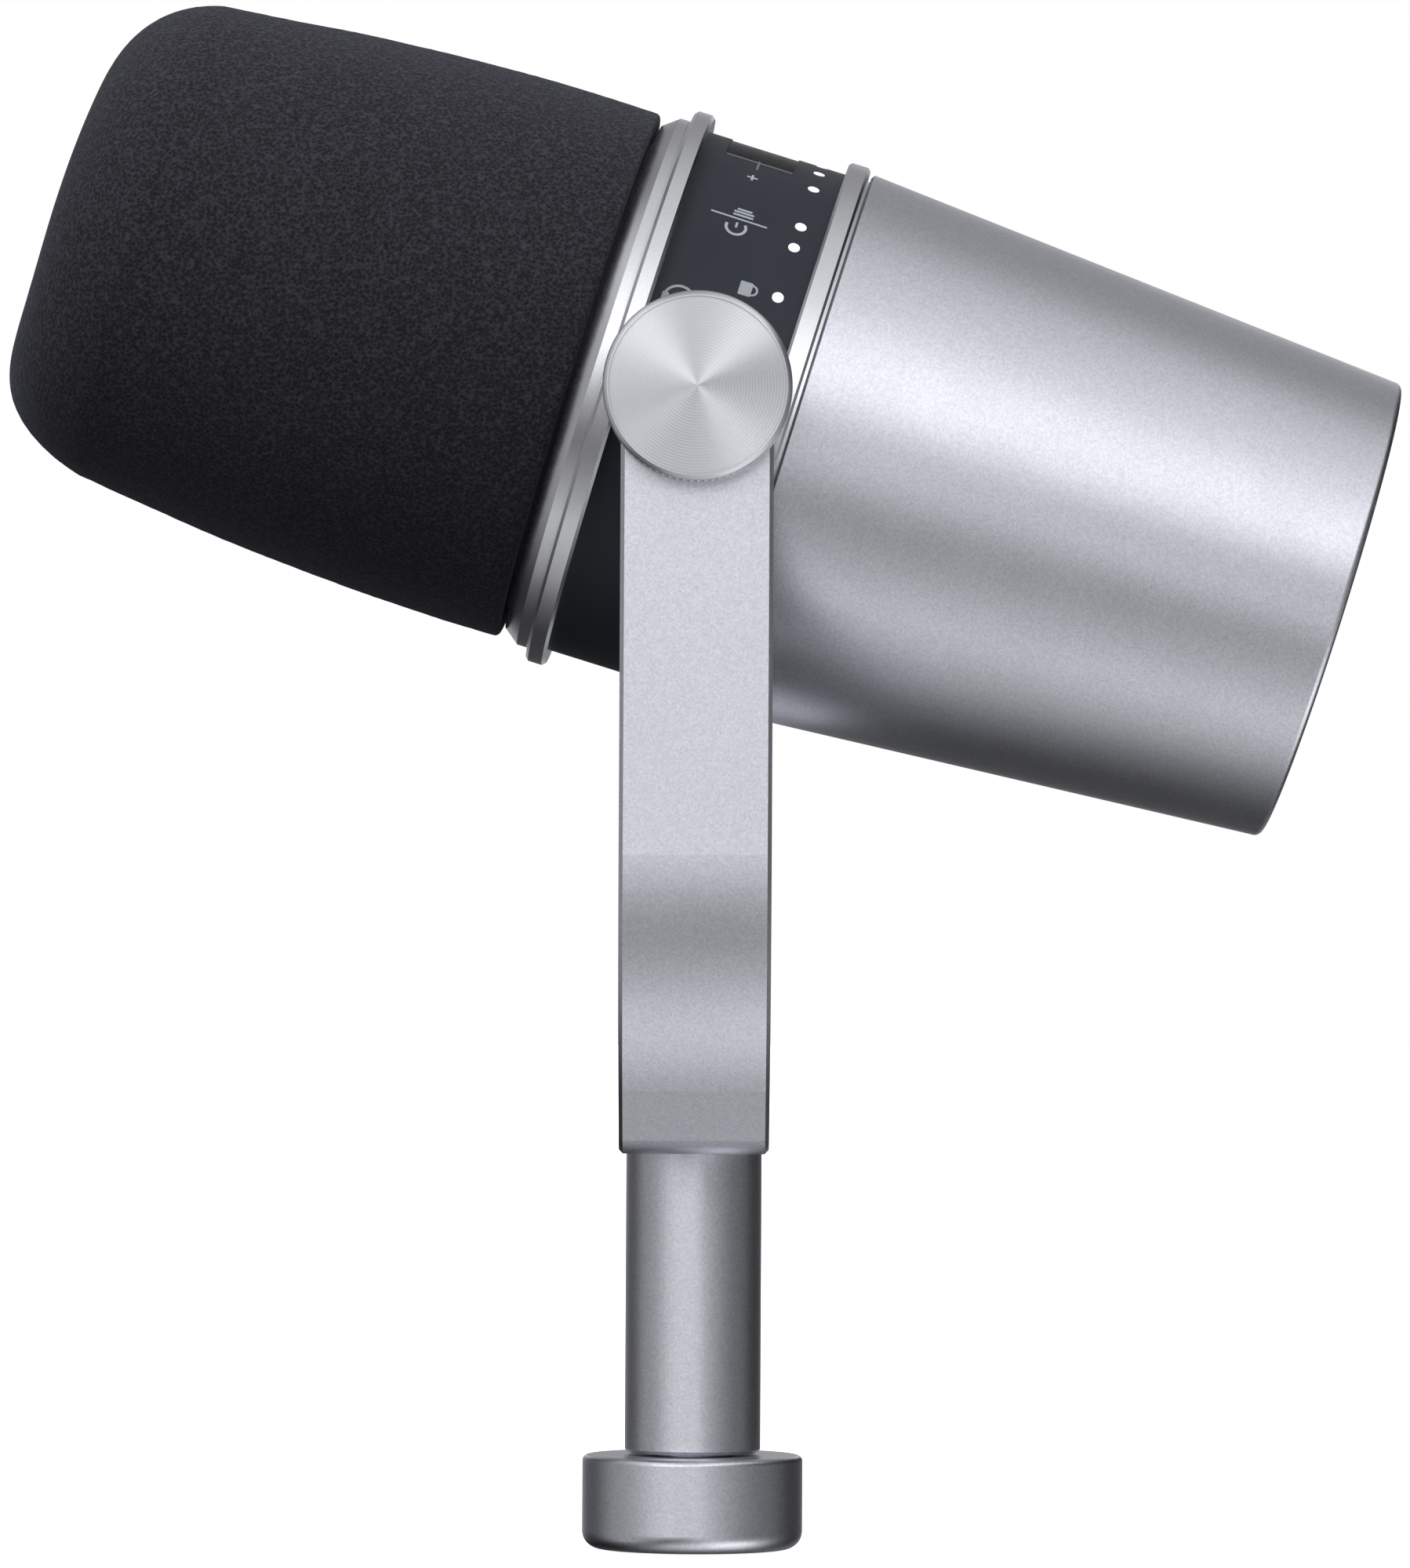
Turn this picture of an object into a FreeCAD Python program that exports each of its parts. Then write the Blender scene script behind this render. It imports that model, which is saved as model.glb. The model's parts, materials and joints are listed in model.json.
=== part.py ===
import FreeCAD, Part
import math
import os

V = FreeCAD.Vector

# Dynamic microphone held in a U-shaped yoke on a stem with a threaded stand collar.
# Millimetres, +Z up. The origin is the centre of the collar's bottom face. The front of the
# microphone points to -X, its left side to -Y, and it tilts about an axis parallel to Y.
# Pieces of the tilting body are drawn level, along X, with the tilt axis at the origin, and
# are then tilted and lifted into place. Along the body, "s" counts from the front flange's
# rear face towards the rear.

# ---- overall sizes
pivot_height = 128.9        # tilt axis above the collar's bottom face
rest_tilt = 17.1            # front up, degrees
band_r = 30.8               # touch band, the middle of the body
band_length = 16.1
foam_reach = 68.0           # windscreen's front face ahead of the flange
housing_reach = 83.4        # rear rim behind the flange

# ---- clearances
press_gap = 0.02            # pieces pressed into each other
slip_gap = 0.15             # pieces that slide together once, when assembled
running_gap = 0.05          # radial, for a shaft that turns
foam_gap = 0.35             # foam over the grille
face_gap = 0.05             # between flat faces of pieces that turn past each other
arm_clearance = 3.3         # flange to the inside of the yoke's arm
swivel_gap = 0.25           # stem's shoulder over the collar

# ---- rings, band and housing
flange_step = 1.9           # flange over the band
flange_length = 2.3
ring_step = 0.5             # front ring's cylinder over the band
ring_length = 5.5
ring_cone = 1.8
ring_lead = 0.9             # front ring's cone, how far it starts under the band's radius
groove = 0.3
rear_ring_step = 1.5
rear_ring_length = 2.5
rear_groove = 0.35
housing_step = 0.9          # housing's widest radius over the band
housing_taper = 4.3         # degrees a side
housing_wall = 2.2
rim_round = 0.8
panel_recess = 5.0          # rear panel inside the rim
panel_thickness = 2.0
panel_ledge = 2.0
panel_screw_r = 1.5
panel_screw_head_r = 2.6
panel_screw_head = 1.4
recess_r = 24.45

# ---- chassis and boards inside
chassis_wall = 1.8
band_wall = 3.0
bulkhead = 2.0
bulkhead_bore = 19.4
chassis_lead = 6.0          # chassis ahead of the flange
chassis_tail = 24.0
tray_width = 30.0
tray_drop = 15.0
tray_thickness = 1.6
tray_length = 40.0
board_width = 34.0
board_length = 35.0
board_thickness = 1.6
post_height = 2.0
post_r = 2.2
board_screw_r = 1.2
touch_board_thickness = 0.8

# ---- windscreen's outline, between the driving lengths
foam_flat_r = 8.0           # flat middle of the front face
foam_crown = 1.0            # fall of the front face out to its round corner
foam_taper = 3.4            # radius lost at the front corner
foam_corner_length = 11.2   # round corner's reach along the side
foam_corner_depth = 11.0    # and down the front face

# ---- small parts of the boards and the output
pin_angles = (145, 35, 270)
pin_length_behind = 3.0     # pins' tails through the insert
pin_tip_round = 0.6         # share of the pin's radius
slot_half_length = 0.62     # screw slots, as shares of the head's radius
slot_half_width = 0.12
post_inset = 5.0            # posts in from the board's ends
post_side_inset = 3.0       # and from the tray's sides
board_end_gap = 1.5
board_screw_head = 1.2
# chips: (along, across, length, width, height) from the first chip's corner
chip_start = 12.0
chip_sizes = [(0, -7, 9, 9, 1.4), (0, 4, 6, 6, 1.2), (12, 3.5, 7, 5, 1.2)]
capacitor_start = 11.0
capacitor_count = 3
capacitor_pitch = 6.0
capacitor_r = 2.0
capacitor_height = 5.0
capacitor_side = 13.5
transformer_start = 24.0
core_size = (8.0, 9.0, 8.0)
core_side = -7.5
winding_proud = 1.0         # winding past the core's sides
winding_inset = 2.0         # and in from its ends
winding_margin = 1.5        # below and above

# ---- lights and slider on the band; angles go up round the body from its left side
light_r = 0.65
light_inset = 2.85          # lights ahead of the rear ring
slider_start = 2.6          # slider behind the flange
slider_length = 7.9
slider_angles = (66.0, 92.0)
slider_sink = 0.5
touch_angles = (14.0, 118.0)
touch_margin = 1.2          # touch board inside the band's ends

# ---- windscreen, grille and capsule
foam_step = 0.4             # foam's widest radius over the band
grille_r = 25.3
grille_wall = 0.8
grille_front = 57.0
grille_round = 9.0
grille_ribs = 12
hoop_width = 1.6
capsule_r = 15.5
capsule_length = 33.0
capsule_front = 46.0
capsule_wall = 1.2
sleeve_r = 19.2
sleeve_wall = 1.2
shock_ring_width = 4.0
lead_r = 0.9
lead_bend = 8.0
diaphragm_r = 12.6
diaphragm_inset = 2.4       # dome's top behind the capsule's face
diaphragm_film = 0.25
dome_height = 1.6
magnet_r = 6.0
magnet_length = 8.0
coil_r = 7.2
coil_wall = 0.6
coil_length = 5.0
coil_gap = 0.4
magnet_inset = 7.0          # magnet and pole cup behind the capsule's face
pole_cup_r = 12.0

# ---- tilt joint
arm_width = 16.7
arm_thickness = 4.0
bar_edge = 0.45             # chamfer along the bar's outer edges
boss_r = 7.6
boss_stand = 0.9            # boss face beyond the flange's radius
insert_r = 4.2
insert_length = 9.0
stud_r = 3.0
bush_wall = 1.2
knob_r = 10.3
knob_thickness = 4.7
knob_cap_step = 0.45        # knob's edge outside the turned cap
knob_rim = 0.35             # chamfer round the knob's face
knob_foot = 0.3             # knob's underside above the arm
knob_cap_thickness = 0.6
washer_thickness = 0.6
washer_r = 8.6

# ---- yoke, stem and stand collar
shoulder_height = 33.0      # where the arms start to bend, above the yoke's underside
shoulder_r = 36.0           # outside of the bend
shoulder_turn = 46.0        # degrees, before the bar runs straight to the floor's corner
floor_round = 5.5           # outside of the floor's corner
stem_r = 7.7
stem_length = 34.2          # between the collar and the yoke's underside
spigot_r = 5.0
spigot_length = 1.5
stem_screw_r = 2.5
stem_screw_head_r = 4.3
stem_screw_head = 2.6
collar_r = 12.5
collar_height = 10.6
collar_top = 2.2            # wall over the thread
collar_base_round = 2.0
collar_top_round = 0.7
thread_r = 7.45             # 5/8 in - 27 thread, at its minor radius
insert_wall = 1.6
journal_r = 4.5
thrust_washer = 0.4
thrust_washer_r = 6.6
swivel_head = 1.3
swivel_head_r = 5.6
swivel_screw_r = 2.0
swivel_screw_length = 8.0
stem_screw_length = 8.0     # in the stem
hole_spare = 1.0            # threaded holes, deeper than their screws
insert_inset = 0.3          # brass thread above the collar's bottom face

# ---- sockets in the rear panel
xlr_r = 9.3                 # outside of the shell
xlr_bore = 8.1
xlr_depth = 16.0
xlr_lift = 9.0              # socket's centre above the body's axis
xlr_flange_r = 10.6
xlr_flange = 1.0
pin_r = 1.2
pin_circle = 4.0
pin_recess = 5.0            # pin tips below the mouth
jack_bore = 1.8             # 3.5 mm plug
jack_r = 3.0
jack_depth = 12.0
jack_nut_r = 4.3
jack_nut = 0.8
jack_wall = 1.5             # behind the bore
jack_body_width = 8.4
jack_body_height = 7.2
port_inset = 8.55           # jack and data port inside the panel's ledge
port_angle = 52.3           # degrees below the level, left and right
usb_width = 7.6
usb_height = 2.8
usb_depth = 6.0
usb_wall = 0.35
usb_tongue_width = 4.4
usb_tongue_thickness = 0.7
usb_tongue_inset = 1.0      # tongue's tip behind the panel's face
socket_board_thickness = 1.2
socket_board_length = 10.5
socket_board_margin = 1.5   # board's sides inside the ledge

# ---- derived places
pivot_s = band_length / 2
flange_r = band_r + flange_step
chassis_r = band_r - band_wall - slip_gap
arm_inside = flange_r + arm_clearance
arm_outside = arm_inside + arm_thickness
boss_face = flange_r + boss_stand
rear_ring_end = band_length + rear_ring_length
housing_start = rear_ring_end + rear_groove
housing_r = band_r + housing_step
yoke_underside = collar_height + swivel_gap + stem_length
yoke_floor = yoke_underside + arm_thickness
panel_front = housing_reach - panel_recess - panel_thickness
panel_face = housing_reach - panel_recess
tray_top = -tray_drop
board_bottom = tray_top + post_height


def outline(start, *steps):
    """Closed face in the XZ plane: straight to each (a, b), by an arc to each ((a, b), (c, d))."""
    here = V(start[0], 0, start[1])
    first = here
    edges = []
    for step in steps:
        if isinstance(step[0], tuple):
            through = V(step[0][0], 0, step[0][1])
            there = V(step[1][0], 0, step[1][1])
            edges.append(Part.Arc(here, through, there).toShape())
        else:
            there = V(step[0], 0, step[1])
            edges.append(Part.LineSegment(here, there).toShape())
        here = there
    if here.distanceToPoint(first) > 1e-7:
        edges.append(Part.LineSegment(here, first).toShape())
    return Part.Face(Part.Wire(edges))


def along_body(start, *steps):
    """Solid turned about the body's axis from an outline of (s, radius) points."""
    return outline(start, *steps).revolve(V(0, 0, 0), V(1, 0, 0), 360).translated(V(-pivot_s, 0, 0))


def tube(r_out, r_in, s_from, s_to):
    return along_body((s_from, r_in), (s_to, r_in), (s_to, r_out), (s_from, r_out))


def rod(r, s_from, s_to, y=0.0, z=0.0):
    return Part.makeCylinder(r, s_to - s_from, V(s_from - pivot_s, y, z), V(1, 0, 0))


def block(s_from, s_to, y_from, y_to, z_from, z_to):
    corner = V(s_from - pivot_s, y_from, z_from)
    return Part.makeBox(s_to - s_from, y_to - y_from, z_to - z_from, corner)


def cross_pin(r, y_from, y_to, side):
    """Cylinder along the tilt axis, on the left (side -1) or the right (side 1)."""
    return Part.makeCylinder(r, y_to - y_from, V(0, side * y_from, 0), V(0, side, 0))


def cross_turned(side, start, *steps):
    """Solid turned about the tilt axis from an outline of (radius, distance out) points."""
    solid = outline(start, *steps).revolve(V(0, 0, 0), V(0, 0, 1), 360)
    return solid.rotated(V(0, 0, 0), V(1, 0, 0), -90 * side)


def upright_turned(start, *steps):
    """Solid turned about the stem's axis from an outline of (radius, height) points."""
    return outline(start, *steps).revolve(V(0, 0, 0), V(0, 0, 1), 360)


def arc_middle(centre, r, degrees):
    a = math.radians(degrees)
    return (centre[0] + r * math.cos(a), centre[1] + r * math.sin(a))


def on_body(shape):
    tilted = shape.rotated(V(0, 0, 0), V(0, 1, 0), rest_tilt)
    return tilted.translated(V(0, 0, pivot_height))


def lifted(shape):
    return shape.translated(V(0, 0, pivot_height))


def group(shapes):
    return Part.makeCompound(shapes)


def housing_outside(s):
    """Housing's outer radius at s, on its straight taper."""
    return housing_r - (s - housing_start - groove) * math.tan(math.radians(housing_taper))


# ---- stand collar
def stand_collar():
    """Collar that turns on the stem's journal and screws on to the stand."""
    base = (collar_r - collar_base_round, collar_base_round)
    top = (collar_r - collar_top_round, collar_height - collar_top_round)
    bore = thread_r + insert_wall + press_gap
    return upright_turned(
        (bore, 0), (base[0], 0), (arc_middle(base, collar_base_round, -45), (collar_r, base[1])),
        (collar_r, top[1]), (arc_middle(top, collar_top_round, 45), (top[0], collar_height)),
        (journal_r + running_gap, collar_height), (journal_r + running_gap, collar_height - collar_top),
        (bore, collar_height - collar_top))


def thread_insert():
    """Brass insert with the stand's thread, pressed into the collar."""
    top = collar_height - collar_top - thrust_washer - swivel_head - face_gap
    return upright_turned((thread_r, insert_inset), (thread_r + insert_wall, insert_inset),
                          (thread_r + insert_wall, top), (thread_r, top))


# ---- yoke
def stem():
    """Round stem: spigot into the yoke on top, journal through the collar below."""
    foot = collar_height + swivel_gap
    journal_end = collar_height - collar_top - face_gap
    edge = 0.4
    body = upright_turned(
        (0, journal_end), (journal_r, journal_end), (journal_r, foot), (stem_r - edge, foot),
        (stem_r, foot + edge), (stem_r, yoke_underside), (spigot_r, yoke_underside),
        (spigot_r, yoke_underside + spigot_length), (0, yoke_underside + spigot_length))
    lower = Part.makeCylinder(swivel_screw_r, swivel_screw_length + hole_spare, V(0, 0, journal_end))
    upper_depth = stem_screw_length + hole_spare
    upper = Part.makeCylinder(stem_screw_r, upper_depth + spigot_length,
                              V(0, 0, yoke_underside - upper_depth))
    return body.cut(lower).cut(upper)


def thrust_washer_ring():
    """Washer between the collar's top wall and the swivel screw's head."""
    top = collar_height - collar_top - face_gap
    return upright_turned((swivel_screw_r + slip_gap, top - thrust_washer),
                          (thrust_washer_r, top - thrust_washer),
                          (thrust_washer_r, top), (swivel_screw_r + slip_gap, top))


def swivel_screw():
    """Screw from below that keeps the collar on the stem."""
    top = collar_height - collar_top - face_gap - thrust_washer
    head = upright_turned((0, top - swivel_head), (swivel_head_r, top - swivel_head),
                          (swivel_head_r, top), (0, top))
    shank = Part.makeCylinder(swivel_screw_r, thrust_washer + swivel_screw_length, V(0, 0, top))
    recess = Part.makeBox(5.0, 1.0, 0.7, V(-2.5, -0.5, top - swivel_head))
    return head.fuse(shank).cut(recess).removeSplitter()


def yoke_half(inset):
    """Right half of the U, offset inwards: arm, shoulder bend, slanted run, floor's corner."""
    turn = math.radians(shoulder_turn)
    shoulder = (arm_outside - shoulder_r, yoke_underside + shoulder_height)
    bend_r = shoulder_r - inset
    bend_end = arc_middle(shoulder, bend_r, -shoulder_turn)
    run = (shoulder_height - shoulder_r * math.sin(turn) - floor_round * (1 - math.sin(turn))) / math.cos(turn)
    reach = arm_outside - shoulder_r * (1 - math.cos(turn)) - run * math.sin(turn)
    corner = (reach - floor_round * math.cos(turn), yoke_underside + floor_round)
    round_r = floor_round - inset
    corner_start = arc_middle(corner, round_r, -shoulder_turn)
    corner_through = arc_middle(corner, round_r, -(shoulder_turn + 90) / 2)
    corner_end = (corner[0], corner[1] - round_r)
    bend_through = arc_middle(shoulder, bend_r, -shoulder_turn / 2)
    bend_start = (shoulder[0] + bend_r, shoulder[1])
    return corner_end, corner_through, corner_start, bend_end, bend_through, bend_start


def mirrored(point):
    return (-point[0], point[1])


def yoke_outline(inset, top):
    """The whole U, up to a height, as one closed face."""
    corner_end, corner_through, corner_start, bend_end, bend_through, bend_start = yoke_half(inset)
    half = bend_start[0]
    return outline(
        (-half, top), mirrored(bend_start), (mirrored(bend_through), mirrored(bend_end)),
        mirrored(corner_start), (mirrored(corner_through), mirrored(corner_end)), corner_end,
        (corner_through, corner_start), bend_end, (bend_through, bend_start), (half, top))


def yoke_bar():
    """Flat bar bent to a U, with the arms' tops rounded about the tilt axis."""
    top = pivot_height + arm_width / 2
    section = yoke_outline(0, top).cut(yoke_outline(arm_thickness, top + 1))
    # the outlines lie in XZ: extruded along Y, then turned so that the U spans the Y direction
    bar = section.extrude(V(0, arm_width, 0)).translated(V(0, -arm_width / 2, 0))
    bar = bar.rotated(V(0, 0, 0), V(0, 0, 1), 90)
    reach = 2 * arm_outside + 10
    ends = Part.makeCylinder(arm_width / 2, reach, V(0, -reach / 2, pivot_height), V(0, 1, 0))
    below = Part.makeBox(arm_width, reach, pivot_height, V(-arm_width / 2, -reach / 2, 0))
    bar = bar.common(ends.fuse(below))
    outline_edges = [V(0, y, z) for y, z in outside_places()]
    long_edges = [e for e in bar.Edges if any(lies_on(e, place) for place in outline_edges)]
    bar = bar.makeChamfer(bar_edge, long_edges)
    bore = Part.makeCylinder(stud_r + 2 * running_gap + bush_wall, reach,
                             V(0, -reach / 2, pivot_height), V(0, 1, 0))
    seat = Part.makeCylinder(spigot_r + press_gap, spigot_length, V(0, 0, yoke_underside))
    hole = Part.makeCylinder(stem_screw_r + slip_gap, arm_thickness, V(0, 0, yoke_underside))
    return bar.cut(bore).cut(seat).cut(hole)


def outside_places():
    """One point on each stretch of the strap's outer face, seen along X."""
    corner_end, corner_through, corner_start, bend_end, bend_through, bend_start = yoke_half(0)
    slant = ((corner_start[0] + bend_end[0]) / 2, (corner_start[1] + bend_end[1]) / 2)
    arm = (bend_start[0], (bend_start[1] + pivot_height) / 2)
    half = [corner_through, slant, bend_through, arm]
    return half + [mirrored(place) for place in half] + [(0, yoke_underside)]


def lies_on(edge, place):
    """True for an edge along one of the strap's sides that passes a place."""
    box = edge.BoundBox
    if box.XLength > 1e-4 or abs(abs(box.XMin) - arm_width / 2) > 1e-4:
        return False
    marker = Part.Vertex(box.XMin, place.y, place.z)
    return edge.distToShape(marker)[0] < 1e-3


def stem_screw():
    """Screw through the yoke's floor into the stem."""
    seat = yoke_floor
    edge = 0.5
    head = upright_turned((0, seat), (stem_screw_head_r, seat),
                          (stem_screw_head_r, seat + stem_screw_head - edge),
                          (stem_screw_head_r - edge, seat + stem_screw_head),
                          (0, seat + stem_screw_head))
    shank_length = arm_thickness + stem_screw_length
    shank = Part.makeCylinder(stem_screw_r - press_gap, shank_length, V(0, 0, seat - shank_length))
    socket_r = 0.52 * stem_screw_head_r
    corners = [V(socket_r * math.cos(math.radians(60 * i)), socket_r * math.sin(math.radians(60 * i)),
                 seat + 0.4 * stem_screw_head) for i in range(7)]
    socket = Part.Face(Part.makePolygon(corners)).extrude(V(0, 0, stem_screw_head))
    return head.fuse(shank).cut(socket).removeSplitter()


def arm_bushes():
    """Plastic bush in the hole of each arm, round the knob's stud."""
    inner = stud_r + 2 * running_gap
    return group([lifted(cross_pin(inner + bush_wall - press_gap, arm_inside, arm_outside, side)
                         .cut(cross_pin(inner, arm_inside - 1, arm_outside + 1, side)))
                  for side in (-1, 1)])


# ---- tilting body: outside
def front_ring():
    """Front metal ring: cone under the foam's edge, cylinder, groove and flange."""
    inner = chassis_r + slip_gap
    ring_r = band_r + ring_step
    cone_end = -ring_length + ring_cone
    groove_at = -flange_length - groove
    edge = 0.35
    return along_body(
        (-ring_length, inner), (-ring_length, band_r - ring_lead), (cone_end, ring_r),
        (groove_at, ring_r), (groove_at, ring_r - groove), (-flange_length, ring_r - groove),
        (-flange_length, flange_r - edge), (-flange_length + edge, flange_r), (-edge, flange_r),
        (0, flange_r - edge), (0, inner))


def control_band():
    """Dark plastic band with a boss for each knob, light holes and a slider recess."""
    sleeve = tube(band_r, band_r - band_wall, 0, band_length)
    inside = rod(band_r - band_wall, 0, band_length)
    shell = sleeve
    for side in (-1, 1):
        shell = shell.fuse(cross_pin(boss_r, band_r - band_wall, boss_face, side).cut(inside))
    for side in (-1, 1):
        shell = shell.cut(cross_pin(insert_r + press_gap, 0, boss_face + 1, side))
    pocket = touch_pocket(touch_board_thickness + 2 * slip_gap, slip_gap)
    shell = shell.cut(pocket)
    for angle in light_angles():
        shell = shell.cut(light_rod(angle, light_r + press_gap, band_r + 1))
    return shell.cut(slider_block(press_gap)).removeSplitter()


def light_angles():
    """Places of the level lights round the band, in degrees up from the left side."""
    meter = [60.4 + 10.5 * i for i in range(6)]
    mute_pair = [38.4, 44.9]
    lock = [25.0]
    return lock + mute_pair + meter


def turned_about_body(shape, angle):
    """Turn a piece drawn on the left side up round the body's axis."""
    return shape.rotated(V(0, 0, 0), V(1, 0, 0), -angle)


def light_rod(angle, r, outer):
    start = band_r - band_wall + touch_board_thickness + 3 * slip_gap
    at = band_length - light_inset - pivot_s
    rod_shape = Part.makeCylinder(r, outer - start, V(at, -start, 0), V(0, -1, 0))
    return turned_about_body(rod_shape, angle)


def sector(r_out, r_in, s_from, s_to, angles, margin=0.0):
    """Curved plate round the body's axis between two angles up from the left side."""
    face = Part.Face(Part.makePolygon([
        V(s_from - pivot_s, -r_in, 0), V(s_to - pivot_s, -r_in, 0),
        V(s_to - pivot_s, -r_out, 0), V(s_from - pivot_s, -r_out, 0), V(s_from - pivot_s, -r_in, 0)]))
    face = turned_about_body(face, angles[0] - margin)
    return face.revolve(V(0, 0, 0), V(1, 0, 0), -(angles[1] - angles[0] + 2 * margin))


def touch_pocket(depth, gap):
    inner = band_r - band_wall - 0.5
    return sector(band_r - band_wall + depth, inner, touch_margin - gap,
                  band_length - touch_margin + gap, touch_angles, 0.4)


def slider_block(gap):
    return sector(band_r + 1, band_r - slider_sink, slider_start - gap,
                  slider_start + slider_length + gap, slider_angles)


def touch_slider():
    """Glossy strip let into the band."""
    return sector(band_r - 0.15, band_r - slider_sink, slider_start, slider_start + slider_length,
                  slider_angles)


def touch_board():
    """Curved flexible board with the touch pads, behind the band."""
    inner = band_r - band_wall + slip_gap
    return sector(inner + touch_board_thickness, inner, touch_margin, band_length - touch_margin,
                  touch_angles)


def level_lights():
    """Light pipes from the touch board to the band's face."""
    return group([light_rod(angle, light_r, band_r + 0.05) for angle in light_angles()])


def rear_ring():
    """Rear metal ring with the groove before the housing."""
    inner = chassis_r + slip_gap
    ring_r = band_r + rear_ring_step
    edge = 0.3
    return along_body(
        (band_length, inner), (band_length, ring_r - edge), (band_length + edge, ring_r),
        (rear_ring_end - edge, ring_r), (rear_ring_end, ring_r - edge), (rear_ring_end, band_r),
        (housing_start, band_r), (housing_start, inner))


def rear_housing():
    """Tapered rear shell with a ledge for the panel and a rounded rim."""
    lip_end = chassis_tail - slip_gap
    inner_front = chassis_r + slip_gap
    rim_outer = housing_outside(housing_reach - rim_round)
    ledge_r = recess_r - panel_ledge
    rim = (housing_reach - rim_round, rim_outer - rim_round)
    ledge_front = panel_front - panel_ledge
    shell = along_body(
        (housing_start, inner_front), (housing_start, housing_r - 0.4),
        (housing_start + groove, housing_r), (housing_reach - rim_round, rim_outer),
        (arc_middle(rim, rim_round, 45), (housing_reach, rim[1])),
        (housing_reach, recess_r + 0.4), (housing_reach - 0.4, recess_r), (panel_front, recess_r),
        (panel_front, ledge_r), (ledge_front, ledge_r),
        (ledge_front - panel_ledge, housing_outside(ledge_front) - housing_wall),
        (lip_end + 2, housing_outside(lip_end + 2) - housing_wall), (lip_end, inner_front))
    for y, z in screw_places():
        shell = shell.cut(rod(panel_screw_r + press_gap, ledge_front - panel_ledge, panel_front, y, z))
    return shell


def screw_places():
    reach = recess_r - panel_screw_head_r - 3 * slip_gap
    return [(-reach, -1.5), (reach, -1.5)]


def port_places():
    """Headphone socket on the left, data port on the right, both below the body's axis."""
    reach = recess_r - panel_ledge - port_inset
    spread, height = arc_middle((0, 0), reach, -port_angle)
    return (-spread, height), (spread, height)


def usb_outline(width, height, s_from, s_to):
    y, z = port_places()[1]
    r = height / 2 - 0.01
    middle = block(s_from, s_to, y - width / 2 + r, y + width / 2 - r, z - height / 2, z + height / 2)
    ends = [rod(height / 2, s_from, s_to, y + side * (width / 2 - r), z) for side in (-1, 1)]
    return middle.fuse(ends[0]).fuse(ends[1]).removeSplitter()


def rear_panel():
    """Recessed plate that carries the sockets."""
    plate = rod(recess_r - slip_gap, panel_front, panel_face)
    plate = plate.cut(rod(xlr_r + slip_gap, panel_front - 1, panel_face + 1, 0, xlr_lift))
    jack_at = port_places()[0]
    plate = plate.cut(rod(jack_r + slip_gap, panel_front - 1, panel_face + 1, *jack_at))
    hole = usb_outline(usb_width + 2 * slip_gap, usb_height + 2 * slip_gap, panel_front - 1, panel_face + 1)
    plate = plate.cut(hole)
    for y, z in screw_places():
        plate = plate.cut(rod(panel_screw_r + slip_gap, panel_front - 1, panel_face + 1, y, z))
    return plate


def panel_screws():
    """Two pan-head screws that hold the rear panel on its ledge."""
    screws = []
    for y, z in screw_places():
        top = panel_face + panel_screw_head
        head = rod(panel_screw_head_r, panel_face, top, y, z)
        shank = rod(panel_screw_r, panel_front - panel_ledge + slip_gap, panel_face, y, z)
        arm = slot_half_length * panel_screw_head_r
        half = slot_half_width * panel_screw_head_r
        floor = top - 0.5 * panel_screw_head
        slot = block(floor, top + 1, y - arm, y + arm, z - half, z + half)
        cross = block(floor, top + 1, y - half, y + half, z - arm, z + arm)
        screws.append(head.fuse(shank).cut(slot).cut(cross).removeSplitter())
    return group(screws)


def xlr_mouth():
    return panel_face + xlr_flange


def xlr_shell():
    """Metal shell of the balanced output."""
    mouth = xlr_mouth()
    shell = rod(xlr_r, mouth - xlr_depth, mouth, 0, xlr_lift)
    shell = shell.fuse(rod(xlr_flange_r, panel_face, mouth, 0, xlr_lift))
    return shell.cut(rod(xlr_bore, mouth - xlr_depth - 1, mouth + 1, 0, xlr_lift)).removeSplitter()


def pin_places():
    return [(pin_circle * math.cos(math.radians(a)), xlr_lift + pin_circle * math.sin(math.radians(a)))
            for a in pin_angles]


def xlr_insert():
    """Plastic disc that holds the three pins."""
    back = xlr_mouth() - xlr_depth
    disc = rod(xlr_bore - press_gap, back, back + pin_length_behind, 0, xlr_lift)
    for y, z in pin_places():
        disc = disc.cut(rod(pin_r + press_gap, back - 1, back + pin_length_behind + 1, y, z))
    return disc


def xlr_pins():
    """Three contact pins, recessed in the shell."""
    back = xlr_mouth() - xlr_depth
    tip = xlr_mouth() - pin_recess
    pins = []
    for y, z in pin_places():
        pin = rod(pin_r, back - pin_length_behind, tip, y, z)
        end = [e for e in pin.Edges if abs(e.BoundBox.XMin - (tip - pivot_s)) < 1e-4]
        pins.append(pin.makeFillet(pin_tip_round * pin_r, end[:1]))
    return group(pins)


def headphone_jack():
    """Barrel and body of the 3.5 mm headphone socket."""
    y, z = port_places()[0]
    mouth = panel_face + jack_nut + 0.2
    back = mouth - jack_depth
    barrel = rod(jack_r, back, mouth, y, z)
    half_width = jack_body_width / 2
    half_height = jack_body_height / 2
    housing = block(back, panel_front - slip_gap, y - half_width, y + half_width,
                    z - half_height, z + half_height)
    return barrel.fuse(housing).cut(rod(jack_bore, back + jack_wall, mouth + 1, y, z)).removeSplitter()


def jack_nut_ring():
    """Round nut that clamps the headphone socket to the panel."""
    y, z = port_places()[0]
    nut = rod(jack_nut_r, panel_face, panel_face + jack_nut, y, z)
    return nut.cut(rod(jack_r + press_gap, panel_face - 1, panel_face + 2, y, z))


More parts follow.
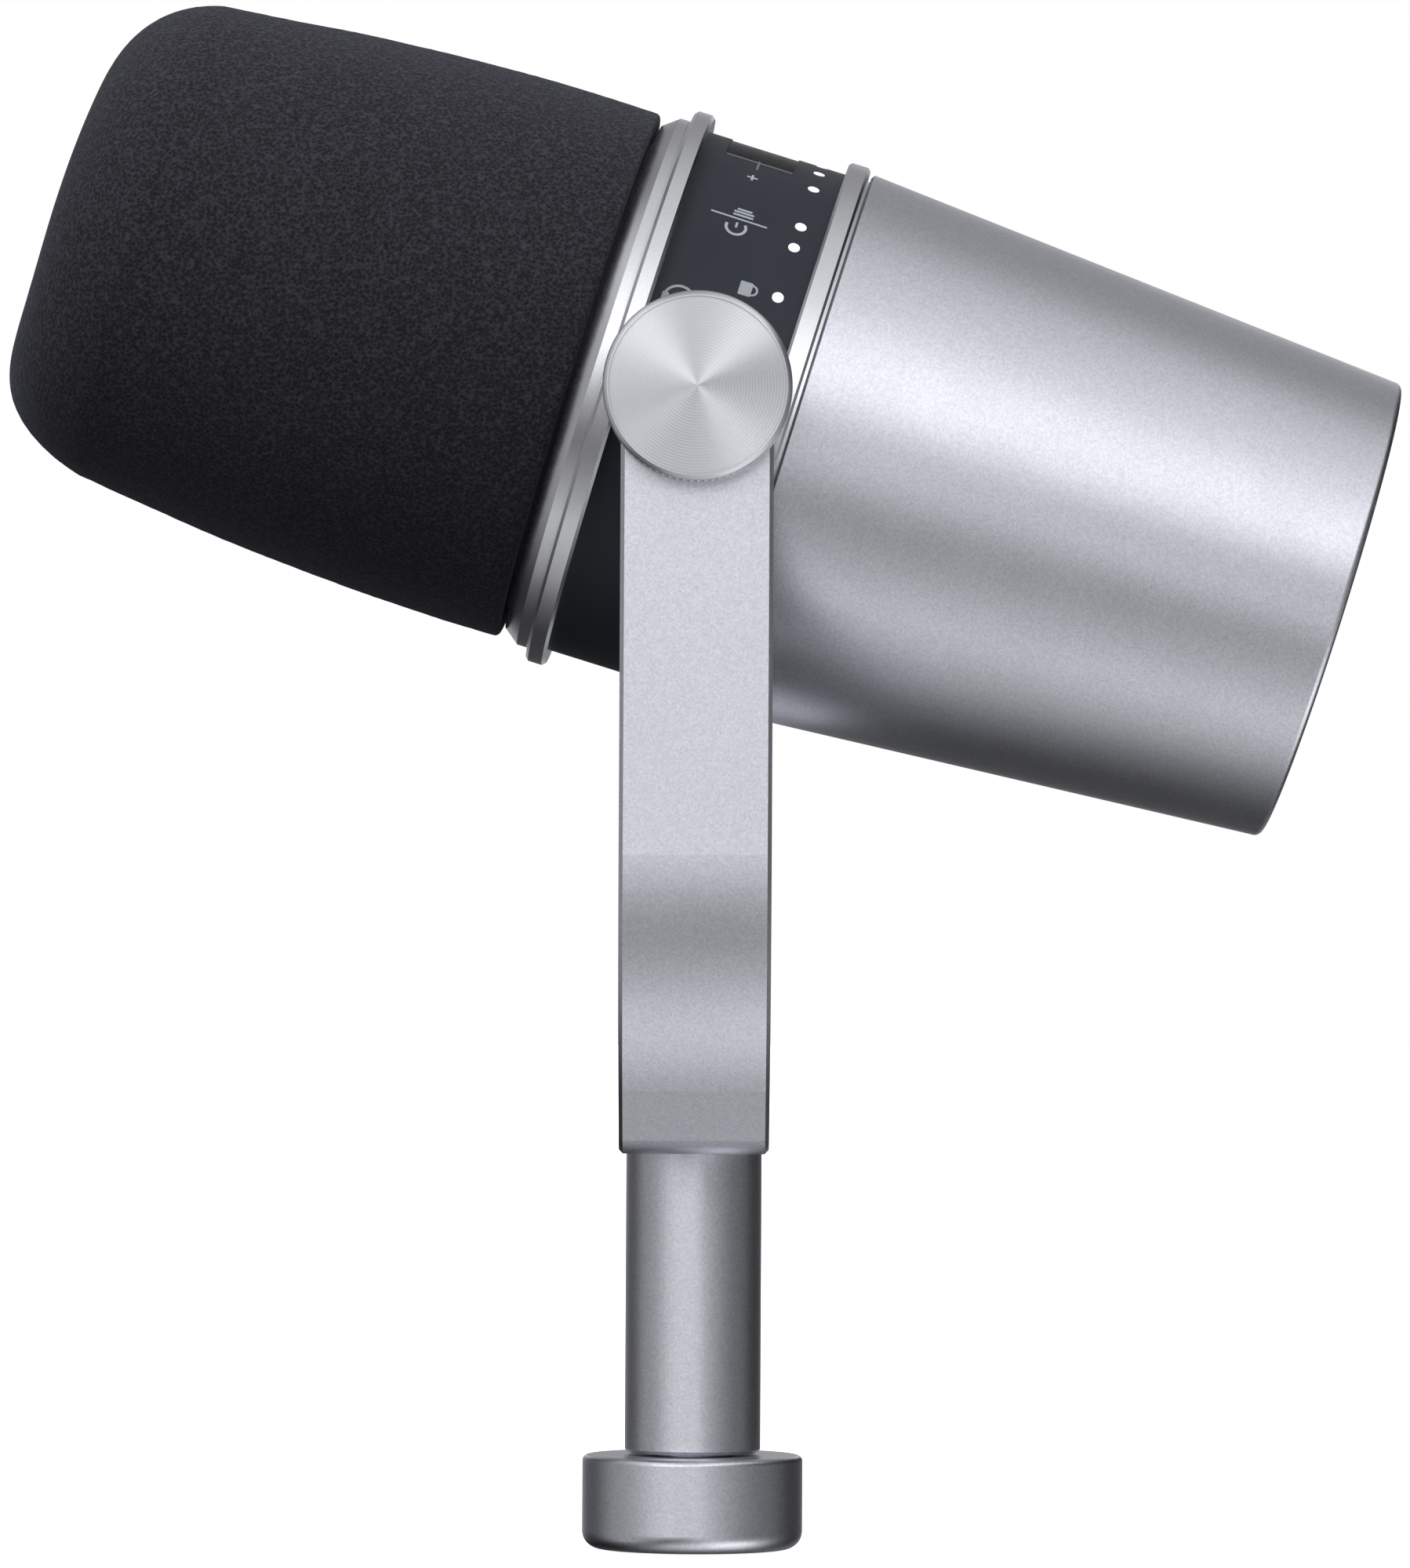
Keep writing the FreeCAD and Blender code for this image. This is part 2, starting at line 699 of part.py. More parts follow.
def usb_socket():
    """Metal shell of the data port."""
    shell = usb_outline(usb_width, usb_height, panel_face - usb_depth, panel_face - 0.1)
    hollow = usb_outline(usb_width - 2 * usb_wall, usb_height - 2 * usb_wall,
                         panel_face - usb_depth + usb_wall, panel_face + 1)
    return shell.cut(hollow)


def usb_tongue():
    """Contact tongue inside the data port."""
    y, z = port_places()[1]
    half_width = usb_tongue_width / 2
    half_height = usb_tongue_thickness / 2
    return block(panel_face - usb_depth + usb_wall, panel_face - usb_tongue_inset,
                 y - half_width, y + half_width, z - half_height, z + half_height)


# ---- tilting body: inside
def chassis():
    """Inner frame: ring under the band, front bulkhead and the tray for the main board."""
    inner = chassis_r - chassis_wall
    ring = tube(chassis_r, inner, -chassis_lead, chassis_tail)
    wall = tube(inner, bulkhead_bore, -chassis_lead, -chassis_lead + bulkhead)
    frame = ring.fuse(wall)
    tray_end = chassis_tail + tray_length
    tray = block(chassis_tail - 6, tray_end, -tray_width / 2, tray_width / 2,
                 tray_top - tray_thickness, tray_top)
    frame = frame.fuse(tray)
    hanger = block(chassis_tail - 2, chassis_tail, -tray_width / 2, tray_width / 2, -chassis_r, tray_top)
    frame = frame.fuse(hanger.common(rod(chassis_r - 0.5, chassis_tail - 3, chassis_tail + 1)))
    for s, y in post_places():
        frame = frame.fuse(Part.makeCylinder(post_r, post_height, V(s - pivot_s, y, tray_top)))
    for s, y in post_places():
        frame = frame.cut(Part.makeCylinder(board_screw_r, post_height + 2, V(s - pivot_s, y, tray_top - 1)))
    for side in (-1, 1):
        frame = frame.cut(cross_pin(insert_r + slip_gap, 10, 40, side))
    return frame.removeSplitter()


def post_places():
    start = chassis_tail + post_inset
    end = start + board_length - 2 * post_inset
    y = tray_width / 2 - post_side_inset
    return [(s, side * y) for s in (start, end) for side in (-1, 1)]


def main_board():
    """Main circuit board on the chassis tray."""
    start = chassis_tail + board_end_gap
    board = block(start, start + board_length, -board_width / 2, board_width / 2,
                  board_bottom, board_bottom + board_thickness)
    for s, y in post_places():
        hole_start = V(s - pivot_s, y, board_bottom - 1)
        board = board.cut(Part.makeCylinder(board_screw_r + slip_gap, board_thickness + 2, hole_start))
    return board


def board_screws():
    """Screws of the main board."""
    top = board_bottom + board_thickness
    screws = []
    for s, y in post_places():
        head = Part.makeCylinder(post_r, board_screw_head, V(s - pivot_s, y, top))
        length = board_thickness + post_height - 0.2
        shank = Part.makeCylinder(board_screw_r - press_gap, length, V(s - pivot_s, y, top - length))
        screws.append(head.fuse(shank).removeSplitter())
    return group(screws)


def board_chips():
    """Converter, processor and memory on the main board."""
    top = board_bottom + board_thickness
    start = chassis_tail + chip_start
    return group([block(start + s, start + s + a, y, y + b, top, top + h) for s, y, a, b, h in chip_sizes])


def board_capacitors():
    """Round capacitors on the main board."""
    top = board_bottom + board_thickness
    cans = []
    for i in range(capacitor_count):
        s = chassis_tail + capacitor_start + capacitor_pitch * i
        cans.append(Part.makeCylinder(capacitor_r, capacitor_height, V(s - pivot_s, capacitor_side, top)))
    return group(cans)


def audio_transformer():
    """Small output transformer on the main board."""
    top = board_bottom + board_thickness
    start = chassis_tail + transformer_start
    length, width, height = core_size
    far_side = core_side + width
    core = block(start, start + length, core_side, far_side, top, top + height)
    winding = block(start + winding_inset, start + length - winding_inset,
                    core_side - winding_proud, far_side + winding_proud,
                    top + winding_margin, top + height - winding_margin)
    return core.fuse(winding).removeSplitter()


def socket_board():
    """Small board under the headphone socket and the data port."""
    top = port_places()[0][1] - jack_body_height / 2 - slip_gap
    bottom = top - socket_board_thickness
    half = math.sqrt((recess_r - panel_ledge) ** 2 - bottom ** 2) - socket_board_margin
    end = panel_front - 0.5
    return block(end - socket_board_length, end, -half, half, bottom, top)


def pivot_inserts():
    """Threaded brass insert in each boss, for the knob's stud."""
    return group([cross_pin(insert_r, boss_face - insert_length, boss_face - 0.1, side)
                  .cut(cross_pin(stud_r + running_gap, boss_face - insert_length - 1, boss_face + 1, side))
                  for side in (-1, 1)])


def friction_washers():
    """Fibre washer between each boss and the yoke's arm."""
    return group([cross_pin(boss_r - 0.2, boss_face, arm_inside - face_gap, side)
                  .cut(cross_pin(stud_r + 0.2, boss_face - 1, arm_inside + 1, side))
                  for side in (-1, 1)])


# ---- windscreen, grille and capsule
def windscreen_foam():
    """Foam windscreen: crowned front, rounded corner, gently swelling side, bored for the grille."""
    widest = band_r + foam_step
    inside = grille_r + foam_gap
    cavity = grille_front + foam_gap
    rear = -ring_length - 0.5
    corner_r = widest - foam_taper
    return along_body(
        (-foam_reach, 0), (-foam_reach, foam_flat_r),
        ((-foam_reach + 0.3 * foam_crown, 12.5), (-foam_reach + foam_crown, corner_r - foam_corner_depth)),
        ((-foam_reach + 4.6, corner_r - 4.15), (-foam_reach + foam_corner_length, corner_r)),
        ((-38.0, widest - 1.05), (rear - 1.4, widest - 0.1)),
        ((rear - 0.4, widest - 0.5), (rear, widest - 1.5)), (rear, inside),
        (-cavity + grille_round, inside),
        (arc_middle((-cavity + grille_round, inside - grille_round), grille_round, 135),
         (-cavity, inside - grille_round)), (-cavity, 0))


def dome(r, front, rear, wall):
    """Closed-fronted shell with a rounded shoulder."""
    corner = (-front + grille_round, r - grille_round)
    inner_round = grille_round - wall
    return along_body(
        (-front, 0), (-front, r - grille_round), (arc_middle(corner, grille_round, 135), (corner[0], r)),
        (rear, r), (rear, r - wall), (corner[0], r - wall),
        (arc_middle(corner, inner_round, 135), (-front + wall, r - grille_round)), (-front + wall, 0))


def grille_mesh():
    """Wire-mesh dome over the capsule, under the foam."""
    return dome(grille_r, grille_front, -chassis_lead - hoop_width, grille_wall)


def grille_cage():
    """Ribs and hoops that stiffen the mesh from inside."""
    r = grille_r - grille_wall - slip_gap
    front = grille_front - grille_round
    base = tube(r, r - hoop_width, -chassis_lead - 2.5, -chassis_lead)
    hoop = tube(r, r - hoop_width, -front, -front + hoop_width)
    frame = base.fuse(hoop)
    for i in range(grille_ribs):
        rib = block(-front, -chassis_lead, -0.8, 0.8, r - hoop_width, r - 0.05)
        frame = frame.fuse(rib.rotated(V(0, 0, 0), V(1, 0, 0), 360 * i / grille_ribs))
    return frame.removeSplitter()


def capsule_rear():
    return -capsule_front + capsule_length


def capsule_housing():
    """Metal cup round the capsule."""
    return along_body(
        (-capsule_front, capsule_r), (capsule_rear(), capsule_r), (capsule_rear(), 3.0),
        (capsule_rear() - capsule_wall, 3.0), (capsule_rear() - capsule_wall, capsule_r - capsule_wall),
        (-capsule_front, capsule_r - capsule_wall))


def capsule_front_plate():
    """Slotted resonator plate over the diaphragm."""
    plate = rod(capsule_r - capsule_wall - press_gap, -capsule_front, -capsule_front + 1.0)
    for i in range(8):
        for reach in (5.0, 9.5):
            hole = rod(1.0, -capsule_front - 1, -capsule_front + 2, 0, reach)
            plate = plate.cut(hole.rotated(V(0, 0, 0), V(1, 0, 0), 45 * i))
    return plate


def capsule_diaphragm():
    """Thin domed diaphragm."""
    front = -capsule_front + diaphragm_inset
    rim = front + dome_height
    back = diaphragm_film
    crown_r = coil_r / 3
    return along_body((front, 0), (front, crown_r), (rim, coil_r), (rim, diaphragm_r),
                      (rim + back, diaphragm_r), (rim + back, coil_r), (front + back, crown_r),
                      (front + back, 0))


def voice_coil():
    """Coil glued behind the diaphragm, in the magnet's gap."""
    start = -capsule_front + diaphragm_inset + dome_height + diaphragm_film
    return tube(coil_r + coil_wall, coil_r, start, start + coil_length)


def magnet():
    """Permanent magnet in the pole cup."""
    start = -capsule_front + magnet_inset
    return rod(magnet_r, start, start + magnet_length)


def pole_cup():
    """Soft-iron cup that closes the magnetic circuit."""
    start = -capsule_front + magnet_inset
    floor = start + magnet_length
    end = floor + 2.5
    gap_r = coil_r + coil_wall + coil_gap
    return along_body((start, pole_cup_r), (end, pole_cup_r), (end, 0), (floor, 0),
                      (floor, gap_r), (start, gap_r))


def capsule_sleeve():
    """Tube from the chassis bulkhead that carries the capsule's rubber rings."""
    inner = sleeve_r - sleeve_wall
    return tube(sleeve_r, inner, -capsule_front + 4, -chassis_lead + bulkhead)


def shock_rings():
    """Two rubber rings that hang the capsule in its sleeve."""
    outer = sleeve_r - sleeve_wall - press_gap
    inner = capsule_r + press_gap
    starts = (-capsule_front + 7, capsule_rear() - 3 - shock_ring_width)
    return group([tube(outer, inner, s, s + shock_ring_width) for s in starts])


def signal_lead():
    """Screened lead from the capsule back and down to the main board."""
    start = V(capsule_rear() + slip_gap - pivot_s, 0, 0)
    bend_end = V(chassis_tail + 5 - pivot_s, 0, -lead_bend)
    bend_start = V(bend_end.x - lead_bend, 0, 0)
    a = math.radians(45)
    through = V(bend_start.x + lead_bend * math.sin(a), 0, -lead_bend + lead_bend * math.cos(a))
    end = V(bend_end.x, 0, board_bottom + board_thickness + face_gap)
    path = Part.Wire([Part.LineSegment(start, bend_start).toShape(),
                      Part.Arc(bend_start, through, bend_end).toShape(),
                      Part.LineSegment(bend_end, end).toShape()])
    section = Part.Wire(Part.makeCircle(lead_r, start, V(1, 0, 0)))
    return path.makePipeShell([section], True, False)


# ---- knobs
def knob(side):
    """Knob with a recess for its washer and a seat for the turned cap."""
    inner = arm_outside + washer_thickness + face_gap
    outer = arm_outside + knob_foot + knob_thickness
    cap_r = knob_r - knob_cap_step
    return cross_turned(
        side, (stud_r + press_gap, inner), (washer_r + 0.2, inner), (washer_r + 0.2, arm_outside + knob_foot),
        (knob_r - 0.3, arm_outside + knob_foot), (knob_r, arm_outside + knob_foot + 0.3),
        (knob_r, outer - knob_rim), (knob_r - knob_rim, outer), (cap_r, outer), (cap_r, outer - knob_cap_thickness),
        (stud_r + press_gap, outer - knob_cap_thickness))


def knob_cap(side):
    """Thin turned aluminium disc on the knob's face."""
    outer = arm_outside + knob_foot + knob_thickness
    cap_r = knob_r - knob_cap_step - press_gap
    return cross_turned(side, (0, outer - knob_cap_thickness + press_gap),
                        (cap_r, outer - knob_cap_thickness + press_gap),
                        (cap_r, outer - 0.1), (0, outer - 0.05))


def knob_stud(side):
    """Steel stud pressed into the knob, threaded into the boss's insert."""
    outer = arm_outside + knob_foot + knob_thickness - knob_cap_thickness - 0.1
    return cross_pin(stud_r, boss_face - insert_length + 2.0, outer, side)


def knob_washer(side):
    """Washer captive under the knob, against the yoke's arm."""
    return cross_pin(washer_r, arm_outside + face_gap, arm_outside + washer_thickness, side).cut(
        cross_pin(stud_r + 0.15, arm_outside - 1, arm_outside + 2, side))


upright_pieces = {
    "stand_collar": stand_collar,
    "thread_insert": thread_insert,
    "stem": stem,
    "thrust_washer": thrust_washer_ring,
    "swivel_screw": swivel_screw,
    "yoke_bar": yoke_bar,
    "stem_screw": stem_screw,
    "arm_bushes": arm_bushes,
}
body_pieces = {
    "front_ring": front_ring,
    "control_band": control_band,
    "touch_slider": touch_slider,
    "touch_board": touch_board,
    "level_lights": level_lights,
    "rear_ring": rear_ring,
    "rear_housing": rear_housing,
    "rear_panel": rear_panel,
    "panel_screws": panel_screws,
    "xlr_shell": xlr_shell,
    "xlr_insert": xlr_insert,
    "xlr_pins": xlr_pins,
    "headphone_jack": headphone_jack,
    "jack_nut": jack_nut_ring,
    "usb_socket": usb_socket,
    "usb_tongue": usb_tongue,
    "chassis": chassis,
    "main_board": main_board,
    "board_screws": board_screws,
    "board_chips": board_chips,
    "board_capacitors": board_capacitors,
    "audio_transformer": audio_transformer,
    "socket_board": socket_board,
    "pivot_inserts": pivot_inserts,
    "friction_washers": friction_washers,
    "windscreen_foam": windscreen_foam,
    "grille_mesh": grille_mesh,
    "grille_cage": grille_cage,
    "capsule_housing": capsule_housing,
    "capsule_front_plate": capsule_front_plate,
    "capsule_diaphragm": capsule_diaphragm,
    "voice_coil": voice_coil,
    "magnet": magnet,
    "pole_cup": pole_cup,
    "capsule_sleeve": capsule_sleeve,
    "shock_rings": shock_rings,
    "signal_lead": signal_lead,
}
knob_pieces = {"knob": knob, "knob_cap": knob_cap, "knob_stud": knob_stud, "knob_washer": knob_washer}


def save(name, shape):
    for solid in shape.Solids:
        if not solid.isValid() or solid.Volume <= 0:
            raise ValueError("bad solid in " + name)
    shape.exportStep("parts/" + name + ".step")


os.makedirs("parts", exist_ok=True)
for name, make in upright_pieces.items():
    save(name, make())
for name, make in body_pieces.items():
    save(name, on_body(make()))
for side_name, side in (("left", -1), ("right", 1)):
    for name, make in knob_pieces.items():
        save(side_name + "_" + name, lifted(make(side)))
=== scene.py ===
import json
import math

import bmesh
import bpy
from mathutils import Matrix, Vector, noise


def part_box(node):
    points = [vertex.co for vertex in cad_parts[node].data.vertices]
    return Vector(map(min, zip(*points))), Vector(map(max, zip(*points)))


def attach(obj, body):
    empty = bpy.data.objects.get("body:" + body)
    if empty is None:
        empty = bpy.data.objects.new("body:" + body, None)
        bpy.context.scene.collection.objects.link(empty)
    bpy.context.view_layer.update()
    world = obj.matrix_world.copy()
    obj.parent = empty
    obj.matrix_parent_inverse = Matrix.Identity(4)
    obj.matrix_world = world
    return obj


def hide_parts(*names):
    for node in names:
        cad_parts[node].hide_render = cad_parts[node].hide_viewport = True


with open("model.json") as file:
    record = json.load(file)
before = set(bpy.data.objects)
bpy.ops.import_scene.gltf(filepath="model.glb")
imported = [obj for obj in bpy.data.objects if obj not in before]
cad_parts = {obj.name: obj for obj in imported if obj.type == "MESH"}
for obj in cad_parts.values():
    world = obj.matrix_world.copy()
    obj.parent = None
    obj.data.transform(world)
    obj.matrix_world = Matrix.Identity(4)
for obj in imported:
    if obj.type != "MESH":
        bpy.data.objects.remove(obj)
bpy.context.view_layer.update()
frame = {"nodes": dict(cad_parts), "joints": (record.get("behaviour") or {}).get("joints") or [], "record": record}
MM = 0.001

# ---- places and sizes, most taken from the frame
nodes = frame["nodes"]
joints = {j["name"]: j for j in frame["joints"]}
pull_axis = Vector(joints["windscreen_pull"]["axis"])
tilt = math.atan2(pull_axis.z, -pull_axis.x)
pivot = Vector(joints["body_tilt"]["pos_m"])
body_place = Matrix.Translation(pivot) @ Matrix.Rotation(tilt, 4, "Y")
slot_of = {part["node"]: part["material_slot"] for part in frame["record"]["subparts"]}


def turned_size(node):
    """Front, rear, smallest and largest radius of a piece turned about the body's axis."""
    back = body_place.inverted()
    points = [back @ v.co for v in nodes[node].data.vertices]
    xs = [p.x for p in points]
    rs = [math.hypot(p.y, p.z) for p in points]
    return min(xs), max(xs), min(rs), max(rs)


band_front, _, _, _ = turned_size("control_band")
_, _, _, slider_r = turned_size("touch_slider")
slider_sunk = 0.15 * MM
band_r = slider_r + slider_sunk
foam_front, foam_rear, _, foam_r = turned_size("windscreen_foam")
grille_front, grille_rear, _, grille_r = turned_size("grille_mesh")
grille_round = 9.0 * MM                         # shoulder of the grille's dome
corner_cut = 0.293                              # middle of a quarter round, as a share of its radius


# ---- mesh helpers
def arc(start, through, end, steps):
    """Points of the circle through three (a, b) places, from the start to the end."""
    (ax, ay), (bx, by), (cx, cy) = start, through, end
    d = 2 * (ax * (by - cy) + bx * (cy - ay) + cx * (ay - by))
    ux = ((ax**2 + ay**2) * (by - cy) + (bx**2 + by**2) * (cy - ay) + (cx**2 + cy**2) * (ay - by)) / d
    uy = ((ax**2 + ay**2) * (cx - bx) + (bx**2 + by**2) * (ax - cx) + (cx**2 + cy**2) * (bx - ax)) / d
    r = math.hypot(ax - ux, ay - uy)
    first = math.atan2(ay - uy, ax - ux)
    middle = (math.atan2(by - uy, bx - ux) - first) % (2 * math.pi)
    last = (math.atan2(cy - uy, cx - ux) - first) % (2 * math.pi)
    sweep = last if middle <= last else last - 2 * math.pi
    return [(ux + r * math.cos(first + sweep * i / steps), uy + r * math.sin(first + sweep * i / steps))
            for i in range(steps + 1)]


def straight(start, end, steps):
    return [(start[0] + (end[0] - start[0]) * i / steps, start[1] + (end[1] - start[1]) * i / steps)
            for i in range(steps + 1)]


def joined(*runs):
    """One outline from several runs of points, each beginning where the last one ended."""
    points = list(runs[0])
    for run in runs[1:]:
        points += run[1:]
    return points


def turned(name, outline, segments, place, ripple=None, closed=True):
    """Surface turned about its own X axis from (x, radius) points, with UV u across and v around."""
    bm = bmesh.new()
    layer = bm.loops.layers.uv.new("turning")
    rings = []
    for j, (x, r) in enumerate(outline):
        if r < 1e-7:
            rings.append([bm.verts.new((x, 0, 0))])
            continue
        ring = []
        for i in range(segments):
            a = 2 * math.pi * i / segments
            rr = r + (ripple(j, a, x, r) if ripple else 0.0)
            ring.append(bm.verts.new((x, rr * math.cos(a), rr * math.sin(a))))
        rings.append(ring)
    reach = [0.0]
    for (x0, r0), (x1, r1) in zip(outline, outline[1:]):
        reach.append(reach[-1] + math.hypot(x1 - x0, r1 - r0))
    pairs = list(zip(range(len(rings)), range(1, len(rings))))
    if closed:
        pairs.append((len(rings) - 1, 0))
        reach.append(reach[-1])
    for j, k in pairs:
        low, high = rings[j], rings[k]
        if len(low) == 1 and len(high) == 1:
            continue
        for i in range(segments):
            n = (i + 1) % segments
            if len(low) == 1:
                corners = [(low[0], j, i), (high[i], k, i), (high[n], k, i + 1)]
            elif len(high) == 1:
                corners = [(low[i], j, i), (high[0], k, i), (low[n], j, i + 1)]
            else:
                corners = [(low[i], j, i), (high[i], k, i), (high[n], k, i + 1), (low[n], j, i + 1)]
            face = bm.faces.new([c[0] for c in corners])
            for loop, (_, row, column) in zip(face.loops, corners):
                loop[layer].uv = (reach[row] / MM, column / segments)
    bmesh.ops.recalc_face_normals(bm, faces=bm.faces)
    return finished(name, bm, place)


def finished(name, bm, place, smooth=35):
    """Mesh object with its place in its mesh, shaded smooth up to an angle."""
    bmesh.ops.transform(bm, matrix=place, verts=bm.verts)
    mesh = bpy.data.meshes.new(name)
    bm.to_mesh(mesh)
    bm.free()
    obj = bpy.data.objects.new(name, mesh)
    bpy.context.scene.collection.objects.link(obj)
    mesh.shade_smooth()
    mesh.set_sharp_from_angle(angle=math.radians(smooth))
    return obj


def dressed(obj, slot, body, *replaced):
    """Give a piece its finish and its body, in place of CAD nodes."""
    obj.data.materials.clear()
    obj.data.materials.append(finishes[slot])
    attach(obj, body)
    if replaced:
        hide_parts(*replaced)
    return obj


# ---- node helpers for materials
class Finish:
    """A material built link by link round one Principled shader."""

    def __init__(self, name, **surface):
        self.material = bpy.data.materials.new(name)
        self.material.use_nodes = True
        self.tree = self.material.node_tree
        self.tree.nodes.clear()
        output = self.add("ShaderNodeOutputMaterial")
        self.surface = self.add("ShaderNodeBsdfPrincipled")
        self.link(self.surface.outputs["BSDF"], output.inputs["Surface"])
        for key, value in surface.items():
            self.surface.inputs[key.replace("_", " ")].default_value = value
        self.bumped = None

    def add(self, kind, **settings):
        node = self.tree.nodes.new(kind)
        for key, value in settings.items():
            setattr(node, key, value)
        return node

    def link(self, source, target):
        self.tree.links.new(source, target)

    def place(self, turn_back=False, stretch=(1, 1, 1)):
        """Object coordinates, turned to run along the body where asked."""
        coordinates = self.add("ShaderNodeTexCoord")
        mapping = self.add("ShaderNodeMapping")
        mapping.inputs["Scale"].default_value = stretch
        if turn_back:
            mapping.vector_type = "TEXTURE"
            mapping.inputs["Location"].default_value = pivot
            mapping.inputs["Rotation"].default_value = (0, tilt, 0)
        self.link(coordinates.outputs["Object"], mapping.inputs["Vector"])
        return mapping.outputs["Vector"]

    def unwrapped(self, stretch=(1, 1, 1)):
        """The piece's own turning map: millimetres across, one turn around."""
        coordinates = self.add("ShaderNodeUVMap", uv_map="turning")
        mapping = self.add("ShaderNodeMapping")
        mapping.inputs["Scale"].default_value = stretch
        self.link(coordinates.outputs["UV"], mapping.inputs["Vector"])
        return mapping.outputs["Vector"]

    def noise(self, grain_mm, detail=2.0, roughness=0.55, vector=None):
        node = self.add("ShaderNodeTexNoise")
        node.inputs["Scale"].default_value = 1 / (grain_mm * MM)
        node.inputs["Detail"].default_value = detail
        node.inputs["Roughness"].default_value = roughness
        self.link(vector or self.place(), node.inputs["Vector"])
        return node.outputs["Fac"]

    def cells(self, size_mm, feature="F1", vector=None, output="Distance"):
        node = self.add("ShaderNodeTexVoronoi", feature=feature)
        node.inputs["Scale"].default_value = 1 / (size_mm * MM)
        self.link(vector or self.place(), node.inputs["Vector"])
        return node.outputs[output]

    def grey_of(self, colour):
        node = self.add("ShaderNodeRGBToBW")
        self.link(colour, node.inputs["Color"])
        return node.outputs["Val"]

    def remap(self, value, low, high, to_low, to_high):
        node = self.add("ShaderNodeMapRange")
        for key, number in zip(("From Min", "From Max", "To Min", "To Max"), (low, high, to_low, to_high)):
            node.inputs[key].default_value = number
        self.link(value, node.inputs["Value"])
        return node.outputs["Result"]

    def ramp(self, value, *stops):
        node = self.add("ShaderNodeValToRGB")
        elements = node.color_ramp.elements
        while len(elements) < len(stops):
            elements.new(0.5)
        for element, (place, colour) in zip(elements, stops):
            element.position = place
            element.color = (*colour, 1.0)
        self.link(value, node.inputs["Fac"])
        return node.outputs["Color"]

    def sum(self, a, b, operation="ADD"):
        node = self.add("ShaderNodeMath", operation=operation)
        for socket, value in zip(node.inputs, (a, b)):
            if isinstance(value, (int, float)):
                socket.default_value = value
            else:
                self.link(value, socket)
        return node.outputs["Value"]

    def bump(self, height, depth_mm):
        node = self.add("ShaderNodeBump")
        node.inputs["Distance"].default_value = depth_mm * MM
        self.link(height, node.inputs["Height"])
        if self.bumped:
            self.link(self.bumped, node.inputs["Normal"])
        self.bumped = node.outputs["Normal"]
        self.link(self.bumped, self.surface.inputs["Normal"])

    def colour(self, socket):
        self.link(socket, self.surface.inputs["Base Color"])

    def roughness(self, socket):
        self.link(socket, self.surface.inputs["Roughness"])


def tones(colour, spread, low=0.32, high=0.68):
    """Ramp stops from a little darker to a little lighter than a colour."""
    return [(low, tuple(c * (1 - spread) for c in colour)),
            (high, tuple(min(1.0, c * (1 + spread)) for c in colour))]


# ---- finishes
def silver_paint():
    """Satin silver paint: fine metal flakes under a thin clear film."""
    f = Finish("silver_paint", Metallic=1.0, Coat_Weight=0.12, Coat_Roughness=0.30)
    flakes = f.grey_of(f.cells(0.20, output="Color"))
    mottle = f.noise(0.42, detail=3.0, roughness=0.65)
    mix = f.sum(f.sum(flakes, 0.55, "MULTIPLY"), f.sum(mottle, 0.45, "MULTIPLY"))
    f.colour(f.ramp(mix, *tones((0.695, 0.705, 0.752), 0.11, 0.25, 0.75)))
    f.roughness(f.remap(f.noise(14, detail=2.0), 0.3, 0.7, 0.31, 0.35))
    f.bump(flakes, 0.003)
    f.bump(mottle, 0.008)
    return f.material


def ring_metal():
    """Bright satin silver of the rings, turned and blasted fine."""
    f = Finish("ring_metal", Metallic=1.0)
    grain = f.noise(0.13, detail=2.0)
    f.colour(f.ramp(grain, *tones((0.80, 0.805, 0.83), 0.05)))
    f.roughness(f.remap(f.noise(5), 0.3, 0.7, 0.24, 0.28))
    f.bump(grain, 0.0014)
    return f.material


def turned_aluminium():
    """Aluminium faced on a lathe, a little crowned: fine circular marks that spread light across them."""
    crown_slope = math.tan(math.radians(3.2))
    f = Finish("turned_aluminium", Metallic=1.0, Anisotropic=0.95)
    marks_per_mm = 5.5
    marks = f.noise(1000 / marks_per_mm, detail=1.0, vector=f.unwrapped((1000, 2, 1)))
    f.colour(f.ramp(marks, *tones((0.66, 0.67, 0.695), 0.035)))
    f.roughness(f.remap(marks, 0.3, 0.7, 0.30, 0.34))
    f.bump(marks, 0.0008)
    millimetres = f.add("ShaderNodeSeparateXYZ")
    f.link(f.unwrapped(), millimetres.inputs["Vector"])
    f.bump(f.sum(millimetres.outputs["X"], -crown_slope, "MULTIPLY"), 1.0)
    across = f.add("ShaderNodeTangent", direction_type="UV_MAP", uv_map="turning")
    f.link(across.outputs["Tangent"], f.surface.inputs["Tangent"])
    return f.material


def machined(name, colour, rough, grain_mm=0.25, depth_mm=0.002, spread=0.06):
    """Bare machined or plated metal with a fine grain and faint smears."""
    f = Finish(name, Metallic=1.0)
    grain = f.noise(grain_mm, detail=3.0)
    smears = f.noise(6.0, detail=2.0)
    f.colour(f.ramp(f.sum(f.sum(grain, 0.6, "MULTIPLY"), f.sum(smears, 0.4, "MULTIPLY")),
                    *tones(colour, spread)))
    f.roughness(f.remap(smears, 0.3, 0.7, rough * 0.85, rough * 1.15))
    f.bump(grain, depth_mm)
    return f.material


